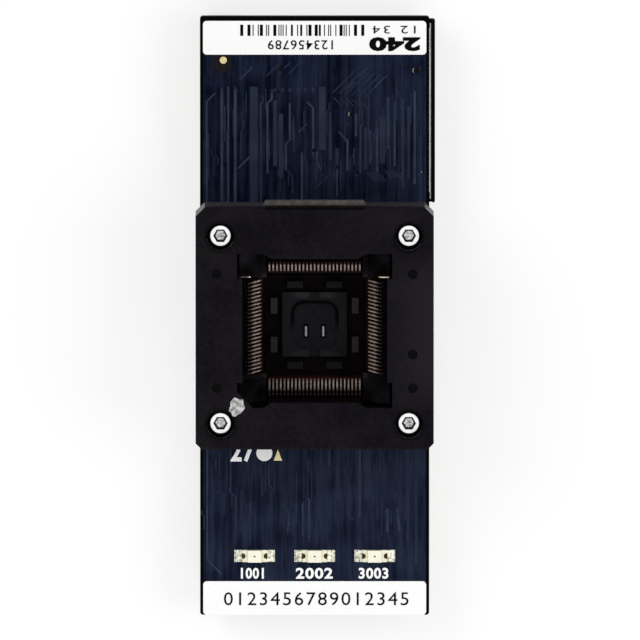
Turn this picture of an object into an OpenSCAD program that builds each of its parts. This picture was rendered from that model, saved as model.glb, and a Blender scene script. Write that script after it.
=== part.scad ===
// Programming adapter for a quad flat package: a narrow circuit board that carries an open-top
// test socket, three status lamps and two labels, and stands on four plug connectors.
// +X is east, +Y is north, +Z is up. The origin lies under the board's middle.

/* [Board] */
// Board width, west to east
board_w = 30.5; // [30:0.5:34]
// Board length, south to north
board_l = 80; // [76:1:96]
// Board thickness
board_t = 1.6; // [1.2:0.1:2.4]
// Radius of the board's corners
board_corner_r = 0.4; // [0.2:0.1:1.5]

/* [Package and contacts] */
// Side of the package body that the socket takes
package_body = 14; // [12:0.5:16]
// Distance from the package body to its lead tips
lead_reach = 1.0; // [0.8:0.1:1.2]
// Lead pitch
lead_pitch = 0.5; // [0.5:0.05:0.8]
// Lead thickness, which is also the open nip of a resting contact
lead_t = 0.15; // [0.1:0.01:0.2]
// Length at each end of a package side that has no leads
corner_free = 0.9; // [0.8:0.05:1.4]
// Thickness of a contact's sheet metal
blade_t = 0.2; // [0.16:0.01:0.24]
// Length of the lever from its pivot to the nose that the cover presses
lever_len = 4.2; // [3.8:0.1:4.6]
// Radius of the lever's nose
nose_r = 0.35; // [0.25:0.05:0.4]
// Radius of the round knuckle at the pivot
knuckle_r = 0.45; // [0.4:0.05:0.55]
// Width of a finger's riser and lever
riser_w = 0.5; // [0.4:0.05:0.6]
// Width of a finger's beak
beak_w = 0.4; // [0.3:0.05:0.5]
// Height of the finger's shoulder above its pivot
shoulder_rise = 5.35; // [4.8:0.05:5.8]
// Distance of the pivot outside the lead tips
pivot_out = 1.45; // [1.3:0.05:1.7]
// Height of the lead seat above the pivot
seat_over_pivot = 1.3; // [1.1:0.05:1.5]

/* [Socket base] */
// Place of the socket's middle along the board
socket_y = -0.9; // [-3:0.1:3]
// Thickness of the base's floor
base_t = 1; // [0.8:0.1:1.4]
// Side of the base's corner columns
column_w = 3.8; // [3.4:0.1:4.2]
// Height of the nest's pedestal above its plate
pedestal_h = 0.8; // [0.4:0.1:1.2]
// Side of the nest's pedestal
pedestal_w = 8.6; // [7:0.1:9.4]
// Thickness of the nest's plate
nest_plate_t = 0.6; // [0.4:0.1:1]

/* [Socket cover] */
// Travel of the cover when it is pressed down
stroke = 2; // [1.6:0.1:2.4]
// Thickness of the cover's top
cover_top_t = 1.5; // [1.2:0.1:2]
// Wall of the cover on the east and west
cover_side_wall = 1.25; // [1:0.05:2]
// Wall of the cover on the north
cover_north_wall = 1.9; // [1.2:0.1:2.4]
// Wall of the cover on the south
cover_south_wall = 1.25; // [0.8:0.05:2]
// Height of the cover's skirt, from its lower edge to the top face
skirt_h = 8.4; // [8:0.1:9]
// Chamfer of the cover's upright corners on the north
cover_chamfer = 1.2; // [0.6:0.1:1.6]
// Chamfer of the cover's upright corners on the south
south_chamfer = 0.8; // [0.6:0.1:1.6]
// Side of the cover's window between its corner pockets
window_w = 19.2; // [18:0.1:20]
// Side of the cover's window across its corner pockets
pocket_w = 20.6; // [20.2:0.1:21.2]
// Length of a corner pocket along the window's side
pocket_len = 3.4; // [2.6:0.1:4]
// Length of a pocket's slanted start on the window's north and south sides
pocket_slant = 1.2; // [0.4:0.1:2]
// Leg of the filled corner that marks contact one in the window
pin_one_fill = 2.1; // [1.2:0.1:2.6]
// Chamfer along the cover's upper edge
cover_edge = 0.25; // [0.1:0.05:0.5]
// Width of the lip on the cover's north side
lip_w = 13.9; // [10:0.1:18]
// Reach of the lip beyond the north side
lip_reach = 0.9; // [0.6:0.05:1.2]
// Diameter of the holes over the socket screws
access_d = 3.6; // [3.4:0.1:4.4]
// Width of the latch hooks on the columns
hook_w = 2.2; // [1.6:0.1:2.6]

/* [Springs and screws] */
// Outside diameter of a cover spring
spring_d = 2.2; // [2:0.1:2.4]
// Wire diameter of a cover spring
wire_d = 0.3; // [0.2:0.02:0.36]
// Turns of a cover spring
spring_turns = 9; // [6:1:10]
// Nominal diameter of the socket screws
screw_d = 1.6; // [1.4:0.1:1.8]
// Diameter of the screw heads
head_d = 2.8; // [2.6:0.1:3.2]
// Height of the screw heads, which stand under the cover's holes
head_h = 1.6; // [1.4:0.1:1.9]
// Width across the flats of the screws' sockets
hex_af = 1.5; // [1.3:0.1:1.6]
// Width across the flats of the nuts
nut_af = 3.2; // [3:0.1:4]
// Height of the nuts
nut_h = 1.3; // [1:0.1:1.6]
// Diameter of the washers
washer_d = 4; // [3.6:0.1:4.6]
// Thickness of the washers
washer_t = 0.3; // [0.2:0.05:0.5]

/* [Plug connectors] */
// Height of the plug connectors under the board
plug_h = 6; // [5:0.1:8]
// Width of a plug's insulating bar
plug_bar_w = 2.6; // [2:0.1:3]
// Pitch of the plug contacts
plug_pitch = 1; // [0.8:0.1:1.27]
// Distance from the board's side to the middle of the bar
plug_inset = 3.4; // [3.2:0.1:4]
// Length of a plug's end blocks
plug_end_l = 1.2; // [0.8:0.1:1.6]
// Width of a plug's end blocks
plug_end_w = 5; // [4.6:0.1:6]
// Chamfer of a plug's lower edges and of its end blocks
plug_edge = 0.3; // [0.1:0.05:0.5]
// Width of a plug contact
pin_w = 0.5; // [0.3:0.05:0.6]
// Thickness of a plug contact
pin_t = 0.2; // [0.15:0.05:0.25]
// Thickness of the polarising rail beside the board
rail_t = 0.45; // [0.35:0.05:0.8]
// Thickness of the ground strip inside the rail
strip_t = 0.25; // [0.15:0.05:0.35]

/* [Lamps, labels and chips] */
// Spacing of the status lamps
lamp_pitch = 8; // [7:0.1:8.5]
// Distance from the board's south end to the lamps
lamp_from_end = 7.9; // [7:0.1:10]
// Length of a lamp's carrier
lamp_l = 3.2; // [2.8:0.1:3.6]
// Width of a lamp
lamp_w = 1.6; // [1.2:0.1:2]
// Height of a lamp
lamp_h = 1.1; // [0.8:0.1:1.4]
// Width of the labels
label_w = 29.7; // [24:0.1:29.8]
// Height of the labels on the board's face
label_h = 4.5; // [3.5:0.1:5]
// Length of a chip capacitor or resistor
chip_l = 1.6; // [1.2:0.1:2]
// Width of a chip capacitor or resistor
chip_w = 0.8; // [0.6:0.1:1.2]

/* [Hidden] */
$fn = 48;
cut = 0.5;               // how far a cutting shape runs past the face that it cuts

// Colours
mould_black = "#1d1d1f";
contact_gold = "#c8ab72";
bright_steel = "#c9ccce";

// Clearances
fit = 0.05;              // between pieces that drop into each other
turn_fit = 0.05;         // between a knuckle and its cup
guide_fit = 0.15;        // between the cover and the columns that guide it
press_gap = 0.06;        // between the cover's pushers and the noses at rest
free_gap = 0.35;         // between parts that pass each other
latch_gap = 0.04;        // between a hook and the sill that it holds

// Heights above the board's upper face
board_top = plug_h + board_t;
pivot_h = base_t + free_gap + nose_r + stroke / 2;
seat_h = pivot_h + seat_over_pivot;
swing = 2 * asin(stroke / (2 * lever_len));

// A contact's outline, as radius from the socket's middle and height above the board
lead_tip_r = package_body / 2 + lead_reach;
pivot = [lead_tip_r + pivot_out, pivot_h];
shoulder_in = 0.65;      // how far the shoulder stands inside the pivot
shoulder = pivot + [-shoulder_in, shoulder_rise];
beak_in = 0.5;           // how far the beak reaches over the lead
beak_tip = [lead_tip_r - beak_in, seat_h + lead_t + beak_w / 2];
nose = pivot + lever_len * [cos(swing / 2), sin(swing / 2)];
seat_w = 1.0;
seat_t = 0.5;
seat_in = 0.9;           // how far the seat reaches under the lead
seat_in_r = lead_tip_r - seat_in;
post_w = 0.6;
post_out_r = seat_in_r + seat_w;
bridge_low_h = 0.8;
cup_in_r = knuckle_r + turn_fit;
cup_wall = 0.45;
cup_out_r = cup_in_r + cup_wall;
cup_from = 165;
cup_to = 295;
bridge_over = 0.55;      // how far the bridge runs past the pivot
bridge_out_r = pivot[0] + bridge_over;

// Row of contacts
lead_count = floor((package_body - 2 * corner_free) / lead_pitch) + 1;
row_half = (lead_count - 1) * lead_pitch / 2;
slot_w = blade_t + fit;
comb_rim = 0.18;
comb_half = row_half + slot_w / 2 + comb_rim;

// Carrier of a row
carrier_rail = 0.55;
carrier_in_r = post_out_r - post_w - fit - carrier_rail;
carrier_out_r = bridge_out_r + fit + carrier_rail;
carrier_over = 0.25;     // how far the carrier stands above the cups' lowest point
carrier_h = pivot_h - cup_out_r + carrier_over;
carrier_flange = 0.4;
carrier_flange_t = 0.5;

// Cover and base
swung_shoulder_h = pivot_h - (shoulder[0] - pivot[0]) * sin(swing) + shoulder_rise * cos(swing)
    + riser_w / 2;
cover_under_h = swung_shoulder_h + free_gap + stroke;
cover_h = cover_under_h + cover_top_t;
pressed_under_h = cover_under_h - stroke;
skirt_low_h = cover_h - skirt_h;
nose_room = 0.55;
cavity_half = pivot[0] + lever_len + nose_r + nose_room;
pusher_over = 0.1;
pusher_in_r = nose[0] - nose_r - pusher_over;
pusher_low_h = nose[1] + nose_r + press_gap;
pusher_half = row_half + blade_t;
column_out = cavity_half - guide_fit;
column_mid = column_out - column_w / 2;
column_h = pressed_under_h - free_gap;
base_rim = 0.45;
base_half_y = cavity_half + base_rim;
base_inset = 0.25;       // from the base's side to the board's side
base_half_x = board_w / 2 - base_inset;
hook_rise = 1.85;        // from the skirt's lower edge to the hooks
hook_low_h = skirt_low_h + hook_rise;
hook_h = 1.0;
hook_out = 0.65;
screw_fit = 0.2;
screw_hole_d = screw_d + screw_fit;
lip_t = 1.2;
lip_drop = 0.7;          // from the cover's top to the lip
lip_groove = [0.27, 0.5];  // width and depth of the groove between the lip and the wall
mark_d = 1.3;            // round marks of the mould's ejectors and gate
mark_deep = 0.12;
gate_y = -3.1;

// Springs stand between the base's floor and the cover's underside
spring_wall_gap = 0.45;
spring_row_gap = 0.4;
spigot_fit = 0.3;
spring_x = cavity_half - spring_d / 2 - spring_wall_gap;
spring_y = row_half + blade_t / 2 + spring_d / 2 + spring_row_gap;
spigot_d = spring_d - 2 * wire_d - spigot_fit;
spring_gap = 0.03;
spring_l = cover_under_h - base_t - 2 * spring_gap;

// Nest
nest_half = carrier_in_r - free_gap;
nest_top_h = base_t + nest_plate_t;
guide_row_gap = 0.1;
guide_in = comb_half + guide_row_gap;
guide_pocket_gap = 0.3;
guide_out = pocket_w / 2 - guide_pocket_gap;
guide_top_h = pressed_under_h - free_gap;
guide_drop = 0.2;        // from the lead seats to the guides' step
guide_floor_h = seat_h - guide_drop;
guide_rim = 0.9;         // flat rim left on top of a guide
guide_slope_rise = 1.2;  // from the lead seats to the start of the slope
body_fit = 0.06;
rib_size = [0.9, 2.1];
rib_edge = 0.7;          // from the plate's edge to a rib
rib_r = nest_half - rib_edge - rib_size[0] / 2;
rib_along = 2.6;
rib_drop = 0.4;
rib_top_h = seat_h - rib_drop;
recess_wall = 1.08;
recess_w = pedestal_w - 2 * recess_wall;
recess_r = 1.8;
recess_d = 0.4;
pad_gap = 2.3;           // between the two pad contacts
pad_y = -0.95;           // from the socket's middle to the pad contacts
pad_size = [1.5, 0.4];   // length and height above the recess
pad_slot = [0.64, 1.9, pedestal_h - recess_d];  // width, length and depth of the slots that they stand in
channel_w = 1.4;

// Screws
hex_deep = head_h / 2;
screw_over = 1.4;        // how far a screw's end stands out of its nut
screw_under = board_t + washer_t + nut_h + screw_over;

// Plug connectors: as many contacts as fit between the board's end and the socket's washers
plug_end_gap = 0.5;
plug_x = board_w / 2 - plug_inset;
washer_gap = 1.0;
washer_room = column_mid + washer_d / 2 + washer_gap;
north_room = board_l / 2 - plug_end_gap - (socket_y + washer_room);
south_room = board_l / 2 - plug_end_gap + (socket_y - washer_room);
north_count = floor((north_room - 2 * plug_end_l) / plug_pitch);
south_count = floor((south_room - 2 * plug_end_l) / plug_pitch);
pin_foot = 1.0;
pin_low_z = 0.5;
rail_out = board_w / 2 + fit + strip_t + rail_t;
rail_low_z = plug_h - 1.4;
rail_rise = 0.9;
rail_top_z = plug_h + rail_rise;
function plug_len(count) = count * plug_pitch + 2 * plug_end_l;
function plug_mid(count) = board_l / 2 - plug_end_gap - plug_len(count) / 2;

// Lamps, labels and chips
lamp_y = -board_l / 2 + lamp_from_end;
lamp_carrier_t = 0.35;
lamp_end = 0.55;
lamp_lens_l = lamp_l - 2 * lamp_end;
terminal_w = 1.1;
terminal_t = 0.12;
label_t = 0.1;
label_r = 0.5;
label_edge = 0.6;
cap_h = 0.8;
resistor_h = 0.45;
chip_cap_l = 0.35;
chip_gap = 0.7;
cap_x = 5.0;
cap_pitch = 3.0;
cap_rows = 4;
resistor_x = plug_x - plug_bar_w / 2 - pin_foot - chip_gap - chip_l / 2;
resistor_y = lamp_y + 3 * chip_w;
capacitor_places = [for (s = [-1, 1], i = [0:cap_rows - 1])
    [s * cap_x, socket_y + (i - (cap_rows - 1) / 2) * cap_pitch]];
resistor_places = [for (i = [-1:1]) [i * resistor_x, resistor_y]];

// Shared shapes

module at_socket() translate([0, socket_y, board_top]) children();

module four_corners(d) for (x = [-d, d], y = [-d, d]) translate([x, y, 0]) children();

module four_sides() for (a = [0:90:270]) rotate(a) children();

// A bar with round ends from one point to another
module strip(a, b, w) {
    d = b - a;
    for (p = [a, b]) translate(p) circle(d = w);
    translate(a) rotate(atan2(d[1], d[0])) translate([0, -w / 2]) square([norm(d), w]);
}

// A rectangle with round corners, about its middle
module round_rect(w, l, r) {
    square([w - 2 * r, l], center = true);
    square([w, l - 2 * r], center = true);
    for (x = [-1, 1], y = [-1, 1]) translate([x * (w / 2 - r), y * (l / 2 - r)]) circle(r);
}

// Corners of a rectangle with cut corners, c in the north and s in the south, between two opposite corners
function cut_rect(low, high, c, s) = [
    [low[0] + s, low[1]], [high[0] - s, low[1]], [high[0], low[1] + s], [high[0], high[1] - c],
    [high[0] - c, high[1]], [low[0] + c, high[1]], [low[0], high[1] - c], [low[0], low[1] + s]
];

// Wedges that take the upper edge off a solid with this outline, which ends at height zero
module edge_wedges(points, c) {
    for (i = [0:len(points) - 1]) {
        a = points[i];
        d = points[(i + 1) % len(points)] - a;
        translate(a) rotate(atan2(d[1], d[0])) translate([-c, 0, 0]) rotate([90, 0, 90])
            linear_extrude(height = norm(d) + 2 * c) polygon([[-c, -2 * c], [2 * c, c], [-c, c]]);
    }
}

// Outlines drawn as radius and height, set up as sheet metal along a row on one side
module contact_row(angle) {
    at_socket() rotate(angle) for (i = [0:lead_count - 1])
        translate([0, i * lead_pitch - row_half, 0]) rotate([90, 0, 0])
            linear_extrude(height = blade_t, center = true) children();
}

// Board

module circuit_board() {
    color("#171d2e") translate([0, 0, plug_h]) difference() {
        linear_extrude(height = board_t) round_rect(board_w, board_l, board_corner_r);
        translate([0, socket_y, -cut]) four_corners(column_mid)
            cylinder(d = screw_hole_d, h = board_t + 2 * cut);
    }
}

// Socket base, with its columns, latch hooks and spring spigots

module latch_hook() {
    translate([column_out, 0, 0]) rotate([90, 0, 0]) linear_extrude(height = hook_w, center = true)
        polygon([
            [-cut, hook_low_h], [hook_out, hook_low_h], [hook_out, hook_low_h + hook_h / 3],
            [0, hook_low_h + hook_h], [-cut, hook_low_h + hook_h]
        ]);
}

module base_floor() {
    difference() {
        linear_extrude(height = base_t)
            polygon(cut_rect([-base_half_x, -base_half_y], [base_half_x, base_half_y],
                cover_chamfer, south_chamfer));
        four_sides() translate([carrier_in_r - fit, -comb_half - fit, -cut])
            cube([carrier_out_r - carrier_in_r + 2 * fit, 2 * (comb_half + fit), base_t + 2 * cut]);
    }
}

module socket_base() {
    color(mould_black) at_socket() {
        difference() {
            union() {
                base_floor();
                four_corners(column_mid) translate([-column_w / 2, -column_w / 2, 0])
                    cube([column_w, column_w, column_h]);
                for (a = [0, 180], y = [-column_mid, column_mid])
                    rotate(a) translate([0, y, 0]) latch_hook();
            }
            four_corners(column_mid) translate([0, 0, -cut])
                cylinder(d = screw_hole_d, h = column_h + 2 * cut);
        }
        for (x = [-spring_x, spring_x], y = [-spring_y, spring_y]) translate([x, y, base_t / 2])
            cylinder(d = spigot_d, h = spring_l / 2 - base_t / 2 - free_gap);
    }
}

// Nest that centres the package

// Corner post with a step for the package's corner and a sloped way in on both arms
module corner_guide() {
    side = guide_out - guide_in;
    inner = package_body / 2 + body_fit;
    slope_run = guide_out - inner - guide_rim;
    slope_low_h = seat_h + guide_slope_rise;
    difference() {
        translate([guide_in, guide_in, base_t]) cube([side, side, guide_top_h - base_t]);
        translate([guide_in - cut, guide_in - cut, guide_floor_h])
            cube([inner - guide_in + cut, inner - guide_in + cut, guide_top_h]);
        for (m = [[0, 0, 0], [1, -1, 0]]) mirror(m) translate([0, guide_out + cut, 0])
            rotate([90, 0, 0]) linear_extrude(height = side + 2 * cut) polygon([
                [inner, slope_low_h], [inner + slope_run, guide_top_h],
                [inner + slope_run, guide_top_h + cut], [guide_in - cut, guide_top_h + cut],
                [guide_in - cut, slope_low_h]
            ]);
    }
}

// Pedestal with an arched recess in its top and a channel from it to the south side
module pedestal() {
    translate([0, 0, base_t]) difference() {
        linear_extrude(height = nest_plate_t + pedestal_h)
            square(pedestal_w, center = true);
        translate([0, 0, nest_plate_t + pedestal_h - recess_d]) linear_extrude(height = recess_d + cut) {
            round_rect(recess_w, recess_w, recess_r);
            translate([-channel_w / 2, -pedestal_w / 2 - cut]) square([channel_w, pedestal_w / 2 + cut]);
        }
        for (x = [-1, 1]) translate([
            x * pad_gap / 2 - pad_slot[0] / 2, pad_y - pad_slot[1] / 2,
            nest_plate_t + pedestal_h - recess_d - pad_slot[2]
        ]) cube(pad_slot + [0, 0, cut]);
    }
}

module package_nest() {
    color("#262628") at_socket() {
        translate([-nest_half, -nest_half, base_t]) cube([2 * nest_half, 2 * nest_half, nest_plate_t]);
        pedestal();
        four_sides() corner_guide();
        four_sides() for (t = [-rib_along, rib_along])
            translate([rib_r - rib_size[0] / 2, t - rib_size[1] / 2, base_t])
                cube([rib_size[0], rib_size[1], rib_top_h - base_t]);
    }
}

// Two short blades that stand in the pedestal's slots and touch the pad under a package
module nest_pad_contacts() {
    half = (pad_size[0] - pad_size[1]) / 2;
    foot = pad_slot[2] + pad_size[1] / 2;
    color(contact_gold) at_socket() for (x = [-1, 1])
        translate([x * pad_gap / 2, pad_y, nest_top_h + pedestal_h - recess_d + pad_size[1] / 2])
            rotate([90, 0, 90]) linear_extrude(height = 2 * blade_t, center = true) {
                strip([-half, 0], [half, 0], pad_size[1]);
                translate([-pad_size[0] / 2, -foot]) square([pad_size[0], foot]);
            }
}

// Contact rows

module carrier(angle) {
    color("#2a2622") at_socket() rotate(angle) {
        difference() {
            translate([carrier_in_r, -comb_half, 0])
                cube([carrier_out_r - carrier_in_r, 2 * comb_half, carrier_h]);
            for (i = [0:lead_count - 1])
                translate([carrier_in_r + carrier_rail, i * lead_pitch - row_half - slot_w / 2, -cut])
                    cube([carrier_out_r - carrier_in_r - 2 * carrier_rail, slot_w, carrier_h + 2 * cut]);
        }
        translate([carrier_out_r, -comb_half, base_t])
            cube([carrier_flange, 2 * comb_half, carrier_flange_t]);
    }
}
module carrier_east() carrier(0);
module carrier_north() carrier(90);
module carrier_west() carrier(180);
module carrier_south() carrier(270);

// Sector of the cup between two angles
module cup() {
    reach = 2 * cup_out_r;
    translate(pivot) difference() {
        intersection() {
            circle(cup_out_r);
            polygon([
                [0, 0], reach * [cos(cup_from), sin(cup_from)], [-reach, -reach],
                reach * [cos(cup_to), sin(cup_to)]
            ]);
        }
        circle(cup_in_r);
    }
}

// Fixed half of a contact: lead seat, tail to the board and cup for the finger's knuckle
module blade_outline() {
    translate([seat_in_r, seat_h - seat_t]) square([seat_w, seat_t]);
    translate([post_out_r - post_w, 0]) square([post_w, seat_h]);
    difference() {
        translate([post_out_r - post_w, bridge_low_h])
            square([bridge_out_r - post_out_r + post_w, pivot_h - cup_in_r - cup_wall / 2 - bridge_low_h]);
        translate(pivot) circle(cup_in_r);
    }
    cup();
}
module blades(angle) color(contact_gold) contact_row(angle) blade_outline();
module blades_east() blades(0);
module blades_north() blades(90);
module blades_west() blades(180);
module blades_south() blades(270);

// Moving half of a contact: knuckle, lever to the nose, riser and beak over the lead
module finger_outline() {
    translate(pivot) circle(knuckle_r);
    strip(pivot, nose, riser_w);
    translate(nose) circle(nose_r);
    strip(pivot, shoulder, riser_w);
    strip(shoulder, beak_tip, beak_w);
}
module fingers(angle) color(contact_gold) contact_row(angle) finger_outline();
module fingers_east() fingers(0);
module fingers_north() fingers(90);
module fingers_west() fingers(180);
module fingers_south() fingers(270);

// Cover that is pressed down to open the contacts

cover_corners = cut_rect([-cavity_half - cover_side_wall, -cavity_half - cover_south_wall],
    [cavity_half + cover_side_wall, cavity_half + cover_north_wall], cover_chamfer, south_chamfer);

// Window with a deeper pocket at each corner, and a filled corner at contact one
module window_outline() {
    side = window_w / 2;
    out = pocket_w / 2;
    start = out - pocket_len;
    fill = pin_one_fill + cut;
    difference() {
        union() {
            square(window_w, center = true);
            for (x = [0, 1], y = [0, 1]) mirror([x, 0]) mirror([0, y]) polygon([
                [start - pocket_slant, side - cut], [start - pocket_slant, side], [start, out],
                [out, out], [out, start], [side - cut, start]
            ]);
        }
        translate([-out - cut, -out - cut]) polygon([[0, 0], [fill + cut, 0], [0, fill + cut]]);
    }
}

// Lip along the north wall, with a groove between the two
module cover_lip() {
    tip = lip_w / 2 - lip_reach / 2;
    translate([0, cavity_half + cover_north_wall, cover_h - lip_drop - lip_t]) difference() {
        linear_extrude(height = lip_t) polygon([
            [-lip_w / 2, -cut], [lip_w / 2, -cut], [lip_w / 2, 0],
            [tip, lip_reach], [-tip, lip_reach], [-lip_w / 2, 0]
        ]);
        translate([-lip_w / 2, 0, lip_t - lip_groove[1]]) cube([lip_w, lip_groove[0], lip_groove[1] + cut]);
    }
}

module socket_cover() {
    hook_room = hook_h + stroke + free_gap;
    mark_places = [
        [-spring_x, -spring_y], [spring_x, -spring_y], [-spring_x, spring_y], [spring_x, spring_y],
        [spring_x, gate_y]
    ];
    color(mould_black) at_socket() {
        cover_lip();
        difference() {
            translate([0, 0, skirt_low_h]) linear_extrude(height = skirt_h) polygon(cover_corners);
            translate([0, 0, cover_h]) edge_wedges(cover_corners, cover_edge);
            translate([0, 0, skirt_low_h - cut]) linear_extrude(height = cover_under_h - skirt_low_h + cut)
                square(2 * cavity_half, center = true);
            translate([0, 0, cover_under_h - cut]) linear_extrude(height = cover_top_t + 2 * cut)
                window_outline();
            four_corners(column_mid) translate([0, 0, cover_under_h - cut])
                cylinder(d = access_d, h = cover_top_t + 2 * cut);
            for (a = [0, 180], y = [-column_mid, column_mid]) rotate(a)
                translate([cavity_half - cut, y - hook_w / 2 - guide_fit, hook_low_h - latch_gap])
                    cube([cover_side_wall + 2 * cut, hook_w + 2 * guide_fit, hook_room]);
            for (p = mark_places) translate([p[0], p[1], cover_h - mark_deep])
                cylinder(d = mark_d, h = mark_deep + cut);
        }
        four_sides() translate([pusher_in_r, -pusher_half, pusher_low_h])
            cube([cavity_half - pusher_in_r, 2 * pusher_half, cover_under_h - pusher_low_h]);
        for (x = [-spring_x, spring_x], y = [-spring_y, spring_y])
            translate([x, y, cover_under_h - stroke / 2 - free_gap])
                cylinder(d = spigot_d, h = stroke / 2 + free_gap);
    }
}

// Springs, screws, washers and nuts

// Height along a spring's wire after a number of turns: closed first and last turns, open between
function coil_rise(n) =
    let (
        closed = 1.2 * wire_d,
        open = (spring_l - wire_d - 2 * closed) / (spring_turns - 2)
    )
    n < 1 ? n * closed
    : n > spring_turns - 1 ? closed + open * (spring_turns - 2) + (n - spring_turns + 1) * closed
    : closed + (n - 1) * open;

module coil_spring() {
    steps = 12;
    sides = 6;
    rings = spring_turns * steps;
    mid_r = (spring_d - wire_d) / 2;
    points = [for (i = [0:rings], k = [0:sides - 1])
        let (a = 360 * i / steps, b = 360 * k / sides, r = mid_r + wire_d / 2 * cos(b))
        [r * cos(a), r * sin(a), wire_d / 2 + coil_rise(i / steps) + wire_d / 2 * sin(b)]];
    walls = [for (i = [0:rings - 1], k = [0:sides - 1])
        let (k2 = (k + 1) % sides)
        [i * sides + k, (i + 1) * sides + k, (i + 1) * sides + k2, i * sides + k2]];
    first_end = [for (k = [0:sides - 1]) k];
    last_end = [for (k = [sides - 1:-1:0]) rings * sides + k];
    polyhedron(points, concat(walls, [first_end, last_end]), convexity = 10);
}

module cover_springs() {
    color(bright_steel) at_socket() for (x = [-spring_x, spring_x], y = [-spring_y, spring_y])
        translate([x, y, base_t + spring_gap]) coil_spring();
}

module socket_screws() {
    color(bright_steel) at_socket() four_corners(column_mid) translate([0, 0, column_h]) difference() {
        union() {
            cylinder(d = head_d, h = head_h);
            translate([0, 0, -column_h - screw_under])
                cylinder(d = screw_d, h = column_h + screw_under + head_h / 2);
        }
        translate([0, 0, head_h - hex_deep])
            cylinder(d = hex_af / cos(30), h = hex_deep + cut, $fn = 6);
    }
}

module under_ring(top_z, h, d, sides) {
    bore = screw_d + 2 * fit;
    color(bright_steel) translate([0, socket_y, top_z - h]) four_corners(column_mid) difference() {
        cylinder(d = d, h = h, $fn = sides);
        translate([0, 0, -cut]) cylinder(d = bore, h = h + 2 * cut);
    }
}
module screw_washers() under_ring(plug_h, washer_t, washer_d, $fn);
module screw_nuts() under_ring(plug_h - washer_t, nut_h, nut_af / cos(30), 6);

// Plug connectors under the board

// Places of the contacts along both sides of a bar, each at the floor of its groove
module on_bar_sides(count) {
    for (s = [0, 180], i = [0:count - 1]) rotate(s)
        translate([plug_bar_w / 2 - pin_t, (i - (count - 1) / 2) * plug_pitch, 0]) children();
}

// Grooved insulating bar between two end blocks, about its middle
module plug_body(count) {
    l = plug_len(count);
    half = plug_bar_w / 2;
    groove_w = pin_w + 2 * fit;
    block = [plug_end_w, plug_end_l] / 2;
    difference() {
        rotate([90, 0, 0]) linear_extrude(height = l, center = true) polygon([
            [-half, plug_edge], [plug_edge - half, 0], [half - plug_edge, 0], [half, plug_edge],
            [half, plug_h], [-half, plug_h]
        ]);
        on_bar_sides(count) translate([0, -groove_w / 2, -cut])
            cube([pin_t + cut, groove_w, plug_h + 2 * cut]);
    }
    for (s = [-1, 1]) translate([0, s * (l - plug_end_l) / 2, 0]) linear_extrude(height = plug_h)
        polygon(cut_rect(-block, block, plug_edge, plug_edge));
}

// Bent strips in the bar's grooves, each with a foot on the board
module plug_contacts(count) {
    on_bar_sides(count) rotate([90, 0, 0]) linear_extrude(height = pin_w, center = true) polygon([
        [0, pin_low_z], [pin_t, pin_low_z], [pin_t, plug_h - pin_t],
        [pin_t + pin_foot, plug_h - pin_t], [pin_t + pin_foot, plug_h], [0, plug_h]
    ]);
}

module plug_ne() {
    l = plug_len(north_count);
    y = plug_mid(north_count);
    rail_x = rail_out - rail_t / 2;
    color(mould_black) {
        translate([plug_x, y, 0]) plug_body(north_count);
        for (s = [-1, 1]) translate([plug_x, y + s * (l - plug_end_l) / 2 - plug_end_l / 2, rail_low_z])
            cube([rail_out - rail_t / 2 - plug_x, plug_end_l, plug_h - rail_low_z - 2 * fit]);
        translate([0, 0, rail_low_z]) linear_extrude(height = rail_top_z - rail_low_z)
            strip([rail_x, y - (l - rail_t) / 2], [rail_x, y + (l - rail_t) / 2], rail_t);
    }
}
module plug_nw() color(mould_black) translate([-plug_x, plug_mid(north_count), 0]) plug_body(north_count);
module plug_sw() color(mould_black) translate([-plug_x, -plug_mid(south_count), 0]) plug_body(south_count);
module plug_se() color(mould_black) translate([plug_x, -plug_mid(south_count), 0]) plug_body(south_count);

module contacts_at(x, y, count) color(contact_gold) translate([x, y, 0]) plug_contacts(count);
module plug_contacts_ne() contacts_at(plug_x, plug_mid(north_count), north_count);
module plug_contacts_nw() contacts_at(-plug_x, plug_mid(north_count), north_count);
module plug_contacts_sw() contacts_at(-plug_x, -plug_mid(south_count), south_count);
module plug_contacts_se() contacts_at(plug_x, -plug_mid(south_count), south_count);

// Metal strip between the board's side and the rail, with ears over the plug's end arms
module ground_strip() {
    low_l = plug_len(north_count) - 2 * plug_end_l - 2 * fit;
    top_l = plug_len(north_count) - 2 * rail_t;
    color(bright_steel) translate([rail_out - rail_t - strip_t, plug_mid(north_count), 0]) {
        translate([0, -low_l / 2, rail_low_z]) cube([strip_t, low_l, rail_top_z - rail_low_z]);
        translate([0, -top_l / 2, plug_h]) cube([strip_t, top_l, rail_top_z - plug_h]);
    }
}

// Status lamps

module at_lamps() for (i = [-1:1]) translate([i * lamp_pitch, lamp_y, board_top]) children();

module lamp_carriers() {
    notch_r = 0.36;
    color("#d9d2bd") at_lamps() translate([0, 0, terminal_t]) linear_extrude(height = lamp_carrier_t)
        difference() {
            square([lamp_l, lamp_w], center = true);
            for (s = [-1, 1]) translate([s * lamp_l / 2, 0]) circle(notch_r);
        }
}

module lamp_lenses() {
    low = terminal_t + lamp_carrier_t;
    draft = 0.15;
    color("#e9e2c8") at_lamps() translate([0, lamp_w / 2, low]) rotate([90, 0, 0])
        linear_extrude(height = lamp_w) polygon([
            [-lamp_lens_l / 2, 0], [lamp_lens_l / 2, 0],
            [lamp_lens_l / 2 - draft, lamp_h - low], [draft - lamp_lens_l / 2, lamp_h - low]
        ]);
}

module lamp_terminals() {
    color(bright_steel) at_lamps() for (s = [-1, 1]) translate([s * lamp_l / 2, 0, 0])
        linear_extrude(height = terminal_t) square([2 * terminal_w, lamp_w], center = true);
}

// Labels

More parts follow.
